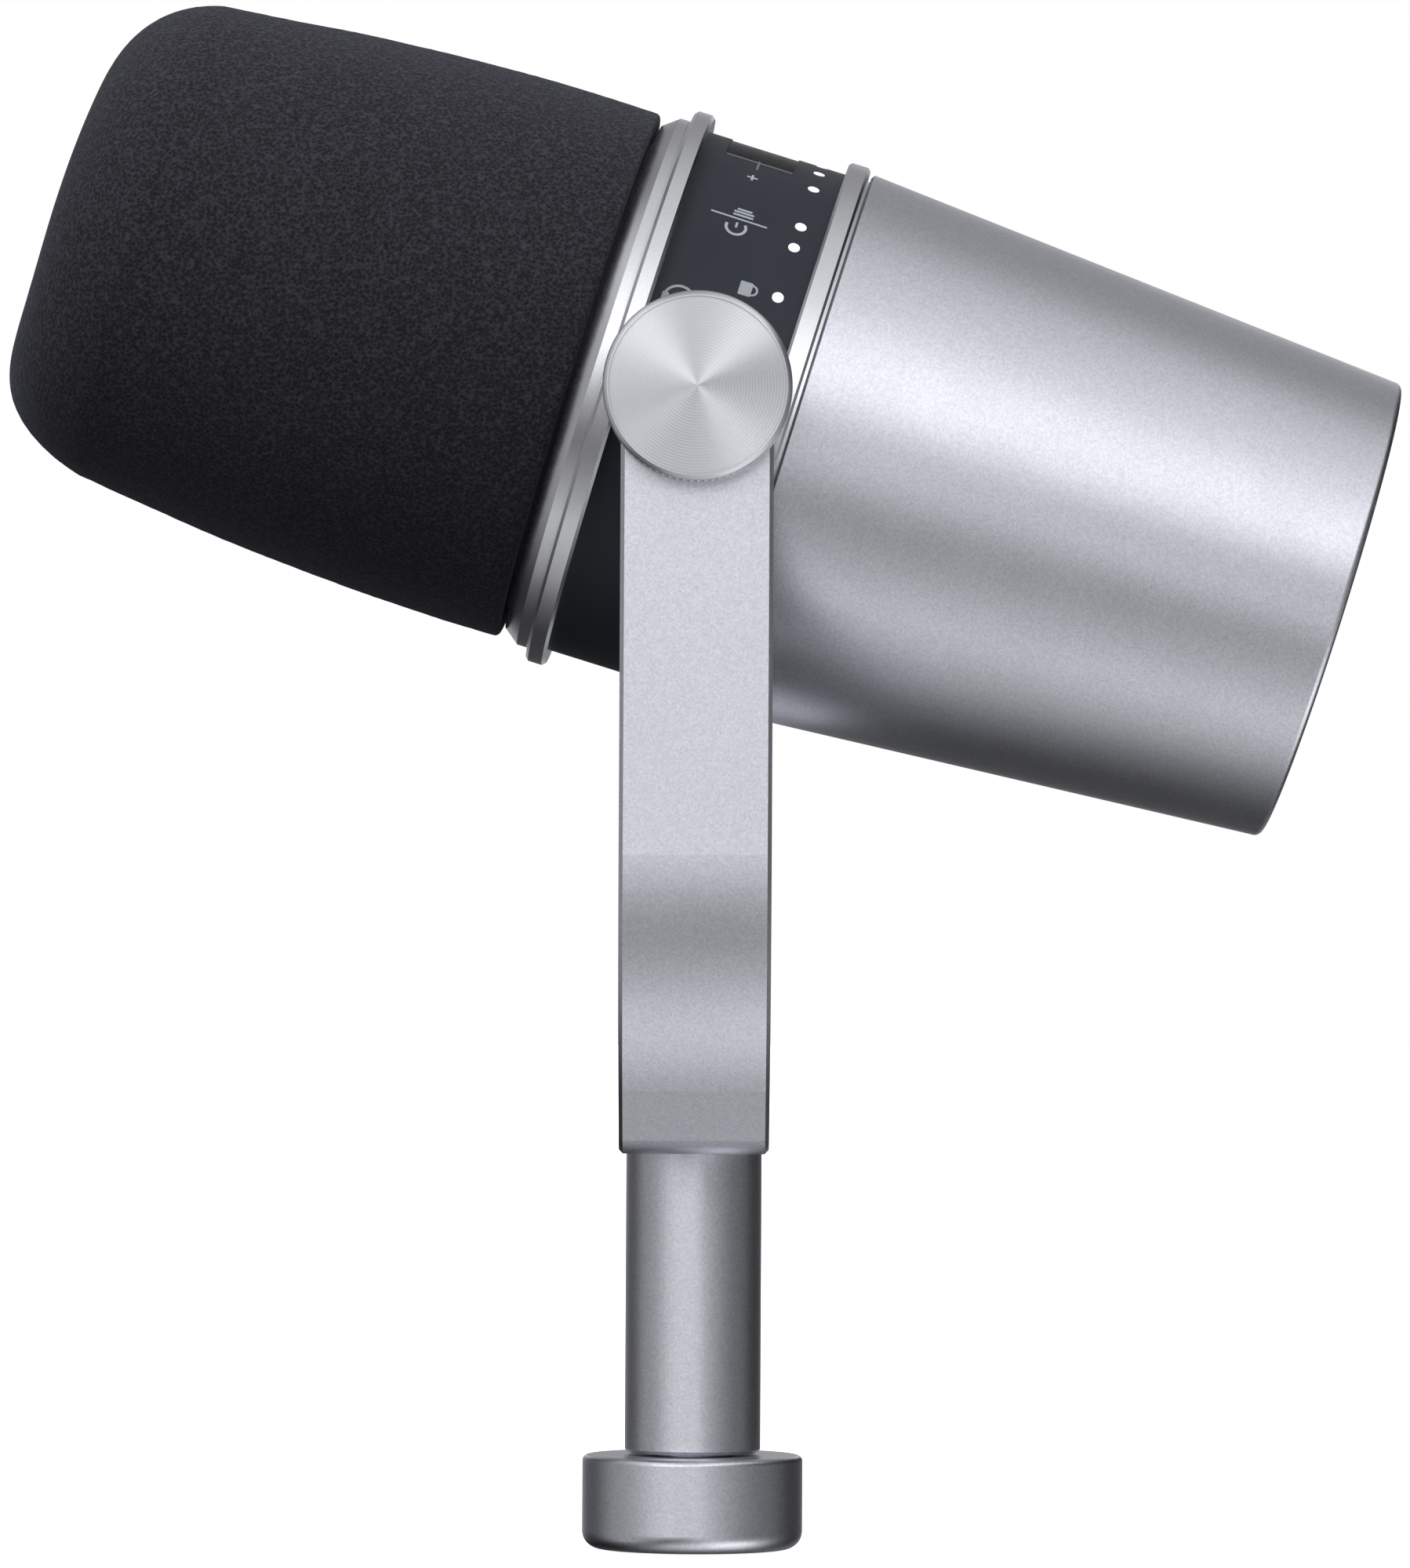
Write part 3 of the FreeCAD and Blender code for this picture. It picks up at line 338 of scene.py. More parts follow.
def moulded(name, colour, rough, grain_mm=0.35, depth_mm=0.012, spread=0.10, coat=0.0, shine=0.5):
    """Moulded plastic with a spark-eroded grain, shinier or duller."""
    f = Finish(name, Coat_Weight=coat, Coat_Roughness=0.12, Specular_IOR_Level=shine)
    grain = f.cells(grain_mm, feature="SMOOTH_F1")
    clouds = f.noise(7.0, detail=2.0)
    f.colour(f.ramp(clouds, *tones(colour, spread)))
    f.roughness(f.remap(grain, 0.1, 0.7, rough * 0.9, rough * 1.12))
    f.bump(grain, depth_mm)
    return f.material


def foam_cells():
    """Open-celled foam: ragged pores a third of a millimetre wide, in near-black grey."""
    f = Finish("foam", Roughness=0.95, Sheen_Weight=0.10, Sheen_Roughness=0.40,
               Sheen_Tint=(0.62, 0.66, 0.80, 1.0), Specular_IOR_Level=0.12)
    pores = f.cells(0.42)
    walls = f.noise(0.30, detail=3.0, roughness=0.7)
    clumps = f.noise(0.9, detail=3.0, roughness=0.65)
    mix = f.sum(f.sum(pores, 0.45, "MULTIPLY"), f.sum(walls, 0.75, "MULTIPLY"))
    mix = f.sum(mix, f.sum(clumps, 0.30, "MULTIPLY"))
    f.colour(f.ramp(mix, (0.44, (0.010, 0.010, 0.012)), (0.70, (0.021, 0.021, 0.025)),
                    (0.94, (0.044, 0.044, 0.053))))
    f.bump(f.sum(walls, pores, "SUBTRACT"), 0.08)
    f.bump(clumps, 0.07)
    return f.material


def light_pipe():
    """Clear-white light pipe, faintly lit."""
    f = Finish("light_white", Roughness=0.35, Emission_Color=(0.93, 0.96, 1.0, 1), Emission_Strength=0.35)
    clouds = f.noise(0.6)
    f.colour(f.ramp(clouds, *tones((0.80, 0.82, 0.84), 0.05)))
    f.bump(clouds, 0.004)
    return f.material


def board_finish(name, mask, track):
    """Circuit board: lacquer over a net of fine copper tracks."""
    f = Finish(name, Coat_Weight=0.4, Coat_Roughness=0.1, Roughness=0.38)
    lanes = f.cells(1.9, feature="DISTANCE_TO_EDGE")
    weave = f.noise(0.5)
    edge = f.remap(lanes, 0.03, 0.07, 0.0, 1.0)
    f.colour(f.ramp(edge, (0.0, track), (1.0, mask)))
    f.bump(f.sum(edge, weave, "ADD"), 0.02)
    return f.material


def wound_wire():
    """Enamelled copper wire wound side by side."""
    wire_pitch = 0.2
    f = Finish("copper", Metallic=1.0, Coat_Weight=0.5, Coat_Roughness=0.15)
    turns = f.add("ShaderNodeTexWave", bands_direction="X")
    turns.inputs["Scale"].default_value = 1 / (wire_pitch * MM) / (2 * math.pi)
    f.link(f.place(turn_back=True), turns.inputs["Vector"])
    f.colour(f.ramp(turns.outputs["Fac"], *tones((0.72, 0.36, 0.17), 0.2, 0.1, 0.9)))
    f.roughness(f.remap(turns.outputs["Fac"], 0, 1, 0.38, 0.22))
    f.bump(turns.outputs["Fac"], 0.03)
    return f.material


finishes = {
    "silver_paint": silver_paint(),
    "ring_metal": ring_metal(),
    "turned_aluminium": turned_aluminium(),
    "foam": foam_cells(),
    "light_white": light_pipe(),
    "copper": wound_wire(),
    "circuit_board": board_finish("circuit_board", (0.012, 0.085, 0.038), (0.05, 0.20, 0.08)),
    "flex_board": board_finish("flex_board", (0.30, 0.13, 0.025), (0.50, 0.25, 0.08)),
    "band_plastic": moulded("band_plastic", (0.017, 0.021, 0.030), 0.42, 0.14, 0.0016, 0.06, shine=0.34),
    "gloss_black": moulded("gloss_black", (0.004, 0.004, 0.005), 0.30, 0.8, 0.0008, 0.1, shine=0.10),
    "black_plastic": moulded("black_plastic", (0.020, 0.020, 0.022), 0.5, 0.30, 0.016),
    "frame_plastic": moulded("frame_plastic", (0.055, 0.056, 0.060), 0.55, 0.5, 0.03, 0.15),
    "chip": moulded("chip", (0.014, 0.014, 0.016), 0.45, 0.12, 0.006),
    "fibre": moulded("fibre", (0.07, 0.06, 0.05), 0.85, 0.2, 0.03, 0.3),
    "nylon": moulded("nylon", (0.74, 0.73, 0.67), 0.38, 0.5, 0.004, 0.04),
    "rubber": moulded("rubber", (0.018, 0.018, 0.019), 0.72, 0.25, 0.010, 0.15),
    "film": moulded("film", (0.66, 0.67, 0.62), 0.2, 0.9, 0.004, 0.05, coat=0.4),
    "brass": machined("brass", (0.72, 0.50, 0.22), 0.26),
    "steel": machined("steel", (0.56, 0.56, 0.57), 0.27),
    "mesh_steel": machined("mesh_steel", (0.34, 0.34, 0.35), 0.36),
    "contact_gold": machined("contact_gold", (0.86, 0.62, 0.26), 0.18),
    "magnet_metal": machined("magnet_metal", (0.30, 0.30, 0.31), 0.38, 0.6, 0.01),
}
print_white = moulded("print_white", (0.34, 0.36, 0.39), 0.5, 0.2, 0.001, 0.08)
print_grey = moulded("print_grey", (0.12, 0.13, 0.15), 0.5, 0.2, 0.001, 0.08)
for name, node in nodes.items():
    node.data.materials.clear()
    node.data.materials.append(finishes[slot_of[name]])


# ---- windscreen
def windscreen():
    """Foam windscreen: crowned front, round corner, gently swelling side and a bore for the grille."""
    corner_r = foam_r - 3.4 * MM
    flat_r = 8.0 * MM
    crown = 1.0 * MM
    crown_mid_r = 12.5 * MM
    corner_in = 11.0 * MM
    corner_back = 11.2 * MM
    corner_mid = (4.6 * MM, 4.15 * MM)
    side_mid = (31.5 * MM, 1.05 * MM)
    bore_gap = 0.35 * MM
    bore_r = grille_r + bore_gap
    bore_end = grille_front - bore_gap
    lip, lip_cut = 0.6 * MM, 0.29
    front, rear = foam_front, foam_rear
    outer_side = [
        straight((front, 0), (front, flat_r), 10),
        arc((front, flat_r), (front + 0.3 * crown, crown_mid_r), (front + crown, corner_r - corner_in), 12),
        arc((front + crown, corner_r - corner_in), (front + corner_mid[0], corner_r - corner_mid[1]),
            (front + corner_back, corner_r), 26),
        arc((front + corner_back, corner_r), (rear - side_mid[0], foam_r - side_mid[1]),
            (rear - lip, foam_r), 74),
        arc((rear - lip, foam_r), (rear - lip_cut * lip, foam_r - lip_cut * lip),
            (rear, foam_r - lip), 8),
        straight((rear, foam_r - lip), (rear, bore_r), 5)]
    bore = [
        straight((rear, bore_r), (bore_end + grille_round, bore_r), 24),
        arc((bore_end + grille_round, bore_r),
            (bore_end + corner_cut * grille_round, bore_r - corner_cut * grille_round),
            (bore_end, bore_r - grille_round), 10),
        straight((bore_end, bore_r - grille_round), (bore_end, 0), 8)]
    bored_from = len(joined(*outer_side)) - 1
    pore_size, pore_depth = 0.9, 0.05 * MM
    dent_size, dent_depth = 9.0, 0.10 * MM
    drawn_in = 0.12 * MM
    calm_r = 12 * MM

    def swell(j, a, x, r):
        if j >= bored_from:
            return 0.0
        p = Vector((x, r * math.cos(a), r * math.sin(a))) / MM
        relief = pore_depth * noise.noise(p / pore_size) + dent_depth * noise.noise(p / dent_size)
        return (relief - drawn_in) * min(1.0, r / calm_r)

    segments = 384
    obj = turned("windscreen", joined(*outer_side, *bore), segments, body_place, swell, closed=False)
    lower_corner = (front + 1.5 * MM, -(corner_r - 7.0 * MM))
    upper_corner = (front + 4.0 * MM, corner_r - 4.0 * MM)
    fuller(obj, lower_corner, way=(-0.85, -0.52), amount=1.75 * MM, reach=9 * MM)
    fuller(obj, upper_corner, way=(-0.6, 0.8), amount=0.85 * MM, reach=10 * MM)
    dressed(obj, "foam", "windscreen", "windscreen_foam")


def fuller(obj, centre, way, amount, reach):
    """Push the foam out round one corner of the side outline, less and less towards the sides."""
    across = 22 * MM
    bore_margin = 0.5 * MM
    back = body_place.inverted()
    push = body_place.to_3x3() @ Vector((way[0], 0, way[1]))
    for v in obj.data.vertices:
        p = back @ v.co
        if math.hypot(p.y, p.z) < grille_r and p.x > grille_front - bore_margin:
            continue
        away = math.hypot(p.x - centre[0], p.z - centre[1]) / reach
        v.co += push * amount * math.exp(-away * away) * math.exp(-(p.y / across)**2)


# ---- knobs
def round_r(node):
    """Radius of a round CAD piece that lies across the body."""
    low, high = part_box(node)
    return (high[0] - low[0]) / 2


def knob_place(side):
    """Turned pieces' X axis points out along the tilt axis."""
    return Matrix.Translation((pivot.x, 0, pivot.z)) @ Matrix.Rotation(math.radians(90) * side, 4, "Z")


def knob(side, name):
    """Knob with a fluted grip and a bright chamfer, and its faced cap."""
    low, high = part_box(name + "_knob")
    foot = min(abs(low[1]), abs(high[1]))
    face = max(abs(low[1]), abs(high[1]))
    r = (high[0] - low[0]) / 2
    well_r = round_r(name + "_knob_washer") + 0.2 * MM
    cap_r = round_r(name + "_knob_cap")
    bore_r = round_r(name + "_knob_stud") + 0.03 * MM
    flutes, flute_depth, flute_sharpness = 84, 0.16 * MM, 0.7
    grip_from, grip_rows = 9, 10
    well = foot + 0.9 * MM
    seat = face - 0.7 * MM
    foot_round = 0.45 * MM
    foot_cut = 0.13 * MM
    chamfer = 0.42 * MM
    chamfer_r = r - 0.2 * MM
    chamfer_at = face - chamfer / 2
    side_end = face - 0.35 * MM - chamfer
    side_mid = (chamfer_at - 0.13 * MM, r - 0.06 * MM)
    seat_r = cap_r + 0.02 * MM

    def fluted(j, a, x, rr):
        if not grip_from <= j <= grip_from + grip_rows:
            return 0.0
        ease = min(1.0, (j - grip_from) / 2, (grip_from + grip_rows - j) / 2)
        return -flute_depth * ease * abs(math.sin(a * flutes / 2))**flute_sharpness

    outline = joined(
        straight((well, bore_r), (well, well_r), 2), straight((well, well_r), (foot, well_r), 1),
        straight((foot, well_r), (foot, r - foot_round), 2),
        arc((foot, r - foot_round), (foot + foot_cut, r - foot_cut), (foot + foot_round, r), 4),
        straight((foot + foot_round, r), (side_end, r), grip_rows),
        arc((side_end, r), side_mid, (chamfer_at, chamfer_r), 3),
        straight((chamfer_at, chamfer_r), (face, chamfer_r - chamfer), 2),
        straight((face, chamfer_r - chamfer), (face, seat_r), 1),
        straight((face, seat_r), (seat, seat_r), 1), straight((seat, seat_r), (seat, bore_r), 2))
    grip_piece = turned(name + "_knob_grip", outline, flutes * 6, knob_place(side), fluted)
    dressed(grip_piece, "turned_aluminium", name + "_knob_assembly", name + "_knob")

    marks, mark_depth = 30, 0.003 * MM
    rim, crown = face - 0.15 * MM, 0.12 * MM
    edge_fall = 0.04 * MM
    cap_foot = face - 0.6 * MM
    disc_r = cap_r + 0.01 * MM
    steps = marks * 6
    disc = []
    for i in range(steps + 1):
        t = i / steps
        disc.append((rim + mark_depth * math.cos(2 * math.pi * t * marks) + crown * (1 - t), cap_r * t))
    disc += [(rim - edge_fall, disc_r), (cap_foot, disc_r), (cap_foot, 0)]
    cap_piece = turned(name + "_knob_facing", disc, 128, knob_place(side), closed=False)
    dressed(cap_piece, "turned_aluminium", name + "_knob_assembly", name + "_knob_cap")


# ---- symbols on the band, drawn as (mm behind the flange, mm up round the band from its left side)
def on_band(s, up, lift):
    """Place on the band's surface in the body's own frame."""
    r = band_r + lift
    a = up * MM / band_r
    return Vector((band_front + s * MM, -r * math.cos(a), r * math.sin(a)))


def raised(bm, outline):
    """One closed shape printed on the band, thin and slightly proud."""
    proud, sunk = 0.035 * MM, 0.03 * MM
    top = [bm.verts.new(on_band(s, up, proud)) for s, up in outline]
    foot = [bm.verts.new(on_band(s, up, -sunk)) for s, up in outline]
    faces = [bm.faces.new(top), bm.faces.new(list(reversed(foot)))]
    count = len(outline)
    for i in range(count):
        n = (i + 1) % count
        faces.append(bm.faces.new([top[i], foot[i], foot[n], top[n]]))
    bmesh.ops.recalc_face_normals(bm, faces=faces)


def bar(bm, start, end, width):
    """Straight stroke between two places, in pieces short enough to follow the band."""
    longest = 0.8
    along = Vector((end[0] - start[0], end[1] - start[1]))
    side = Vector((-along.y, along.x)).normalized() * (width / 2)
    pieces = max(1, round(along.length / longest))
    for i in range(pieces):
        a = Vector(start) + along * (i / pieces)
        b = Vector(start) + along * ((i + 1) / pieces)
        raised(bm, [a - side, b - side, b + side, a + side])


def bow(bm, centre, r, first, last, width):
    """Curved stroke round a centre between two angles in degrees."""
    steps = max(3, round(abs(last - first) / 15))
    for i in range(steps):
        a, b = (math.radians(first + (last - first) * (i + k) / steps) for k in (0, 1))
        corners = [(centre[0] + (r + w) * math.cos(t), centre[1] + (r + w) * math.sin(t))
                   for t, w in ((a, -width / 2), (b, -width / 2), (b, width / 2), (a, width / 2))]
        raised(bm, corners)


def blob(bm, centre, half, rounding):
    """Filled rounded box."""
    corners = []
    for quarter in range(4):
        sx = (1, -1, -1, 1)[quarter]
        sy = (1, 1, -1, -1)[quarter]
        for step in range(5):
            t = math.radians(90 * quarter + 22.5 * step)
            x = sx * (half[0] - rounding) + rounding * math.cos(t)
            y = sy * (half[1] - rounding) + rounding * math.sin(t)
            corners.append((centre[0] + x, centre[1] + y))
    raised(bm, corners)


def microphone_sign(bm, centre):
    """Plain microphone pictogram: ribbed head above, cradle and foot below, struck through."""
    s, up = centre
    head, foot = s + 0.3, s - 0.1
    for rise, half in ((0.62, 1.15), (1.12, 1.15), (1.58, 0.85)):
        bar(bm, (head - half, up + rise), (head + half, up + rise), width=0.30)
    bow(bm, (foot, up - 1.35), 1.12, 165, 395, width=0.34)
    bar(bm, (foot, up - 0.62), (foot, up - 1.42), width=0.26)
    bar(bm, (s - 3.3, up + 0.05), (s + 3.2, up - 0.05), width=0.24)


def band_symbols():
    """Level sign, muted microphone, lock and headphones, and the slider's scale."""
    degree = math.radians(1) * band_r / MM
    bm = bmesh.new()
    plus, arm = (6.35, 57.1 * degree), 0.62
    bar(bm, (plus[0] - arm, plus[1]), (plus[0] + arm, plus[1]), width=0.26)
    bar(bm, (plus[0], plus[1] - arm), (plus[0], plus[1] + arm), width=0.26)
    microphone_sign(bm, (6.5, 41.6 * degree))
    lock = (10.0, 24.7 * degree)
    blob(bm, (lock[0] - 0.45, lock[1]), half=(0.72, 0.88), rounding=0.15)
    bow(bm, (lock[0] + 0.27, lock[1]), 0.60, -90, 90, width=0.24)
    phones = (2.9, 17.6 * degree)
    bow(bm, phones, 1.75, 15, 165, width=0.30)
    for ear in (-1, 1):
        blob(bm, (phones[0] + 1.6 * ear, phones[1] - 0.1), half=(0.38, 0.70), rounding=0.2)
    printed("band_symbols", bm, print_white)
    bm = bmesh.new()
    scale_up = 66.3 * degree - 0.5
    bar(bm, (2.7, scale_up), (10.4, scale_up), width=0.36)
    bar(bm, (6.5, scale_up - 2.2), (6.5, scale_up + 0.5), width=0.26)
    printed("slider_scale", bm, print_grey)


def printed(name, bm, ink):
    """A set of printed shapes in one ink, on the body of the microphone."""
    obj = finished(name, bm, body_place)
    obj.data.materials.append(ink)
    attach(obj, "mic_body")


windscreen()
for side, side_name in ((-1, "left"), (1, "right")):
    knob(side, side_name)
band_symbols()


# ---- threads
def threaded(name, bore_r, outer_r, low, high, place, pitch, depth, inside):
    """Sleeve or stud along X with a cut thread, inside or outside."""
    rows_per_turn = 8
    steps = round((high - low) / pitch * rows_per_turn)
    runs = [straight((low, bore_r), (high, bore_r), steps), straight((high, bore_r), (high, outer_r), 2),
            straight((high, outer_r), (low, outer_r), steps), straight((low, outer_r), (low, bore_r), 2)]
    outline = joined(*runs)[:-1]
    cut_rows = range(0, steps + 1) if inside else range(steps + 2, 2 * steps + 3)

    def groove(j, a, x, r):
        if j not in cut_rows:
            return 0.0
        phase = (x / pitch - a / (2 * math.pi)) % 1.0
        ease = max(0.0, min(1.0, (x - low) / pitch, (high - x) / pitch))
        return (1 if inside else -1) * depth * ease * abs(2 * phase - 1)

    return turned(name, outline, 96, place, groove, closed=True)


def stand_thread():
    """Brass insert with the stand's thread, 27 turns to the inch."""
    low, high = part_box("thread_insert")
    mount = [m for m in frame["record"]["mounts"] if m["name"] == "stand_thread"][0]
    bore = mount["dims"]["r_mm"] * MM
    pitch = 25.4 / 27 * MM
    depth = 0.5 * MM
    upright = Matrix.Rotation(math.radians(-90), 4, "Y")
    outer = round_r("thread_insert")
    obj = threaded("stand_thread", bore, outer, low[2], high[2], upright, pitch, depth, True)
    dressed(obj, "brass", "collar", "thread_insert")


def knob_thread(side, name):
    """Steel stud with an M6 thread."""
    low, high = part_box(name + "_knob_stud")
    r = round_r(name + "_knob_stud")
    near = min(abs(low[1]), abs(high[1]))
    far = max(abs(low[1]), abs(high[1]))
    pitch = 1.0 * MM
    depth = 0.45 * MM
    core_r = 0.25 * r
    obj = threaded(name + "_knob_thread", core_r, r, near, far, knob_place(side), pitch, depth, False)
    dressed(obj, "steel", name + "_knob_assembly", name + "_knob_stud")


# ---- woven grille under the windscreen
class Tree:
    """A Geometry Nodes tree built link by link."""

    def __init__(self, name):
        self.group = bpy.data.node_groups.new(name, "GeometryNodeTree")
        self.group.interface.new_socket("Geometry", in_out="INPUT", socket_type="NodeSocketGeometry")
        self.group.interface.new_socket("Geometry", in_out="OUTPUT", socket_type="NodeSocketGeometry")
        self.names = {}
        self.start = self.group.nodes.new("NodeGroupInput")

    def size(self, name, kind="NodeSocketFloat"):
        self.names[name] = self.group.interface.new_socket(name, in_out="INPUT", socket_type=kind).identifier
        return self.start.outputs[name]

    def add(self, kind, inputs=None, **settings):
        node = self.group.nodes.new(kind)
        for key, value in settings.items():
            setattr(node, key, value)
        for key, value in (inputs or {}).items():
            if isinstance(value, bpy.types.NodeSocket):
                self.group.links.new(value, node.inputs[key])
            else:
                node.inputs[key].default_value = value
        return node

    def calc(self, operation, a, b=0.0):
        return self.add("ShaderNodeMath", {0: a, 1: b}, operation=operation).outputs[0]

    def vector(self, x=0.0, y=0.0, z=0.0):
        return self.add("ShaderNodeCombineXYZ", {0: x, 1: y, 2: z}).outputs[0]

    def wire(self, curve, thickness, sides):
        ring = self.add("GeometryNodeCurvePrimitiveCircle", {"Resolution": sides, "Radius": thickness})
        swept = self.add("GeometryNodeCurveToMesh", {"Curve": curve, "Profile Curve": ring.outputs[0]})
        return swept.outputs[0]

    def copies(self, points, instance, rotation=(0, 0, 0), scale=(1, 1, 1)):
        placed = self.add("GeometryNodeInstanceOnPoints", {
            "Points": points, "Instance": instance, "Rotation": rotation, "Scale": scale})
        return self.add("GeometryNodeRealizeInstances", {"Geometry": placed.outputs[0]}).outputs[0]


def grille_tree():
    """Wires along and round the dome's side, and a square weave across its front."""
    rib_points, hoop_points, wire_sides = 44, 120, 5
    t = Tree("woven_grille")
    lengthways = t.size("Wires round", "NodeSocketInt")
    hoops = t.size("Hoops", "NodeSocketInt")
    wire_r = t.size("Wire radius")
    front_r = t.size("Front radius")
    front_x = t.size("Front place")
    weave = t.size("Weave", "NodeSocketInt")
    side = t.add("GeometryNodeMeshToCurve", {"Mesh": t.start.outputs["Geometry"]}).outputs[0]
    smooth = t.add("GeometryNodeResampleCurve", {"Curve": side, "Count": rib_points}).outputs[0]
    index = t.add("GeometryNodeInputIndex").outputs[0]
    spots = t.add("GeometryNodePoints", {"Count": lengthways}).outputs[0]
    turn = t.calc("DIVIDE", t.calc("MULTIPLY", index, 2 * math.pi), lengthways)
    ribs = t.wire(t.copies(spots, smooth, rotation=t.vector(turn)), wire_r, wire_sides)
    rows = t.add("GeometryNodeResampleCurve", {"Curve": side, "Count": hoops}).outputs[0]
    place = t.add("ShaderNodeSeparateXYZ", {0: t.add("GeometryNodeInputPosition").outputs[0]})
    ring = t.add("GeometryNodeCurvePrimitiveCircle", {"Resolution": hoop_points, "Radius": 1.0}).outputs[0]
    radius = t.add("GeometryNodeCurveToPoints", {"Curve": rows}, mode="EVALUATED").outputs[0]
    kept = t.add("GeometryNodeStoreNamedAttribute", {
        "Geometry": radius, "Name": "reach", "Value": place.outputs[1]}, data_type="FLOAT").outputs[0]
    on_axis = t.vector(place.outputs[0])
    moved = t.add("GeometryNodeSetPosition", {"Geometry": kept, "Position": on_axis}).outputs[0]
    reach = t.add("GeometryNodeInputNamedAttribute", {"Name": "reach"}, data_type="FLOAT").outputs[0]
    hoop_size = t.vector(reach, reach, reach)
    rings = t.copies(moved, ring, rotation=(0, math.pi / 2, 0), scale=hoop_size)
    round_wires = t.wire(rings, wire_r, wire_sides)
    pitch = t.calc("DIVIDE", t.calc("MULTIPLY", front_r, 2.0), weave)
    half_pitch = t.calc("MULTIPLY", pitch, 0.5)
    row = t.add("GeometryNodeMeshLine", {
        "Count": weave, "Start Location": t.vector(front_x, t.calc("SUBTRACT", half_pitch, front_r)),
        "Offset": t.vector(0.0, pitch)}).outputs[0]
    across = t.calc("SUBTRACT", t.calc("MULTIPLY", front_r, front_r),
                    t.calc("MULTIPLY", place.outputs[1], place.outputs[1]))
    length = t.calc("MULTIPLY", t.calc("SQRT", across), 2.0)
    strand = t.add("GeometryNodeCurvePrimitiveLine", {"Start": (0, 0, -0.5), "End": (0, 0, 0.5)}).outputs[0]
    upright = t.wire(t.copies(row, strand, scale=t.vector(1.0, 1.0, length)), wire_r, wire_sides + 1)
    level = t.add("GeometryNodeTransform", {"Geometry": upright, "Rotation": (math.pi / 2, 0, 0),
                                            "Translation": t.vector(wire_r)}).outputs[0]
    join = t.add("GeometryNodeJoinGeometry")
    for part in (ribs, round_wires, upright, level):
        t.group.links.new(part, join.inputs[0])
    whole = t.add("GeometryNodeRealizeInstances", {"Geometry": join.outputs[0]}).outputs[0]
    coated = t.add("GeometryNodeSetMaterial", {"Geometry": whole, "Material": finishes["mesh_steel"]})
    end = t.group.nodes.new("NodeGroupOutput")
    t.group.links.new(coated.outputs[0], end.inputs[0])
    return t


def woven_grille():
    wire_r = 0.2 * MM
    shoulder = grille_round - wire_r
    r = grille_r - wire_r
    front = grille_front + wire_r
    outline = joined(
        straight((grille_rear, r), (front + shoulder, r), 30),
        arc((front + shoulder, r), (front + corner_cut * shoulder, r - corner_cut * shoulder),
            (front, r - shoulder), 14))
    bm = bmesh.new()
    path = [bm.verts.new((x, rr, 0)) for x, rr in outline]
    for a, b in zip(path, path[1:]):
        bm.edges.new((a, b))
    mesh = bpy.data.meshes.new("grille_path")
    bm.to_mesh(mesh)
    bm.free()
    path_obj = bpy.data.objects.new("grille_path", mesh)
    bpy.context.scene.collection.objects.link(path_obj)
    tree = grille_tree()
    modifier = path_obj.modifiers.new("weave", "NODES")
    modifier.node_group = tree.group
    sizes = {"Wires round": 116, "Hoops": 46, "Wire radius": wire_r, "Front radius": r - shoulder,
             "Front place": front, "Weave": 24}
    for name, value in sizes.items():
        modifier[tree.names[name]] = value
    solid = bpy.data.meshes.new_from_object(path_obj.evaluated_get(bpy.context.evaluated_depsgraph_get()))
    bpy.data.objects.remove(path_obj)
    solid.transform(body_place)
    obj = bpy.data.objects.new("woven_grille", solid)
    bpy.context.scene.collection.objects.link(obj)
    solid.shade_smooth()
    dressed(obj, "mesh_steel", "mic_body", "grille_mesh")


stand_thread()
for side, side_name in ((-1, "left"), (1, "right")):
    knob_thread(side, side_name)
woven_grille()


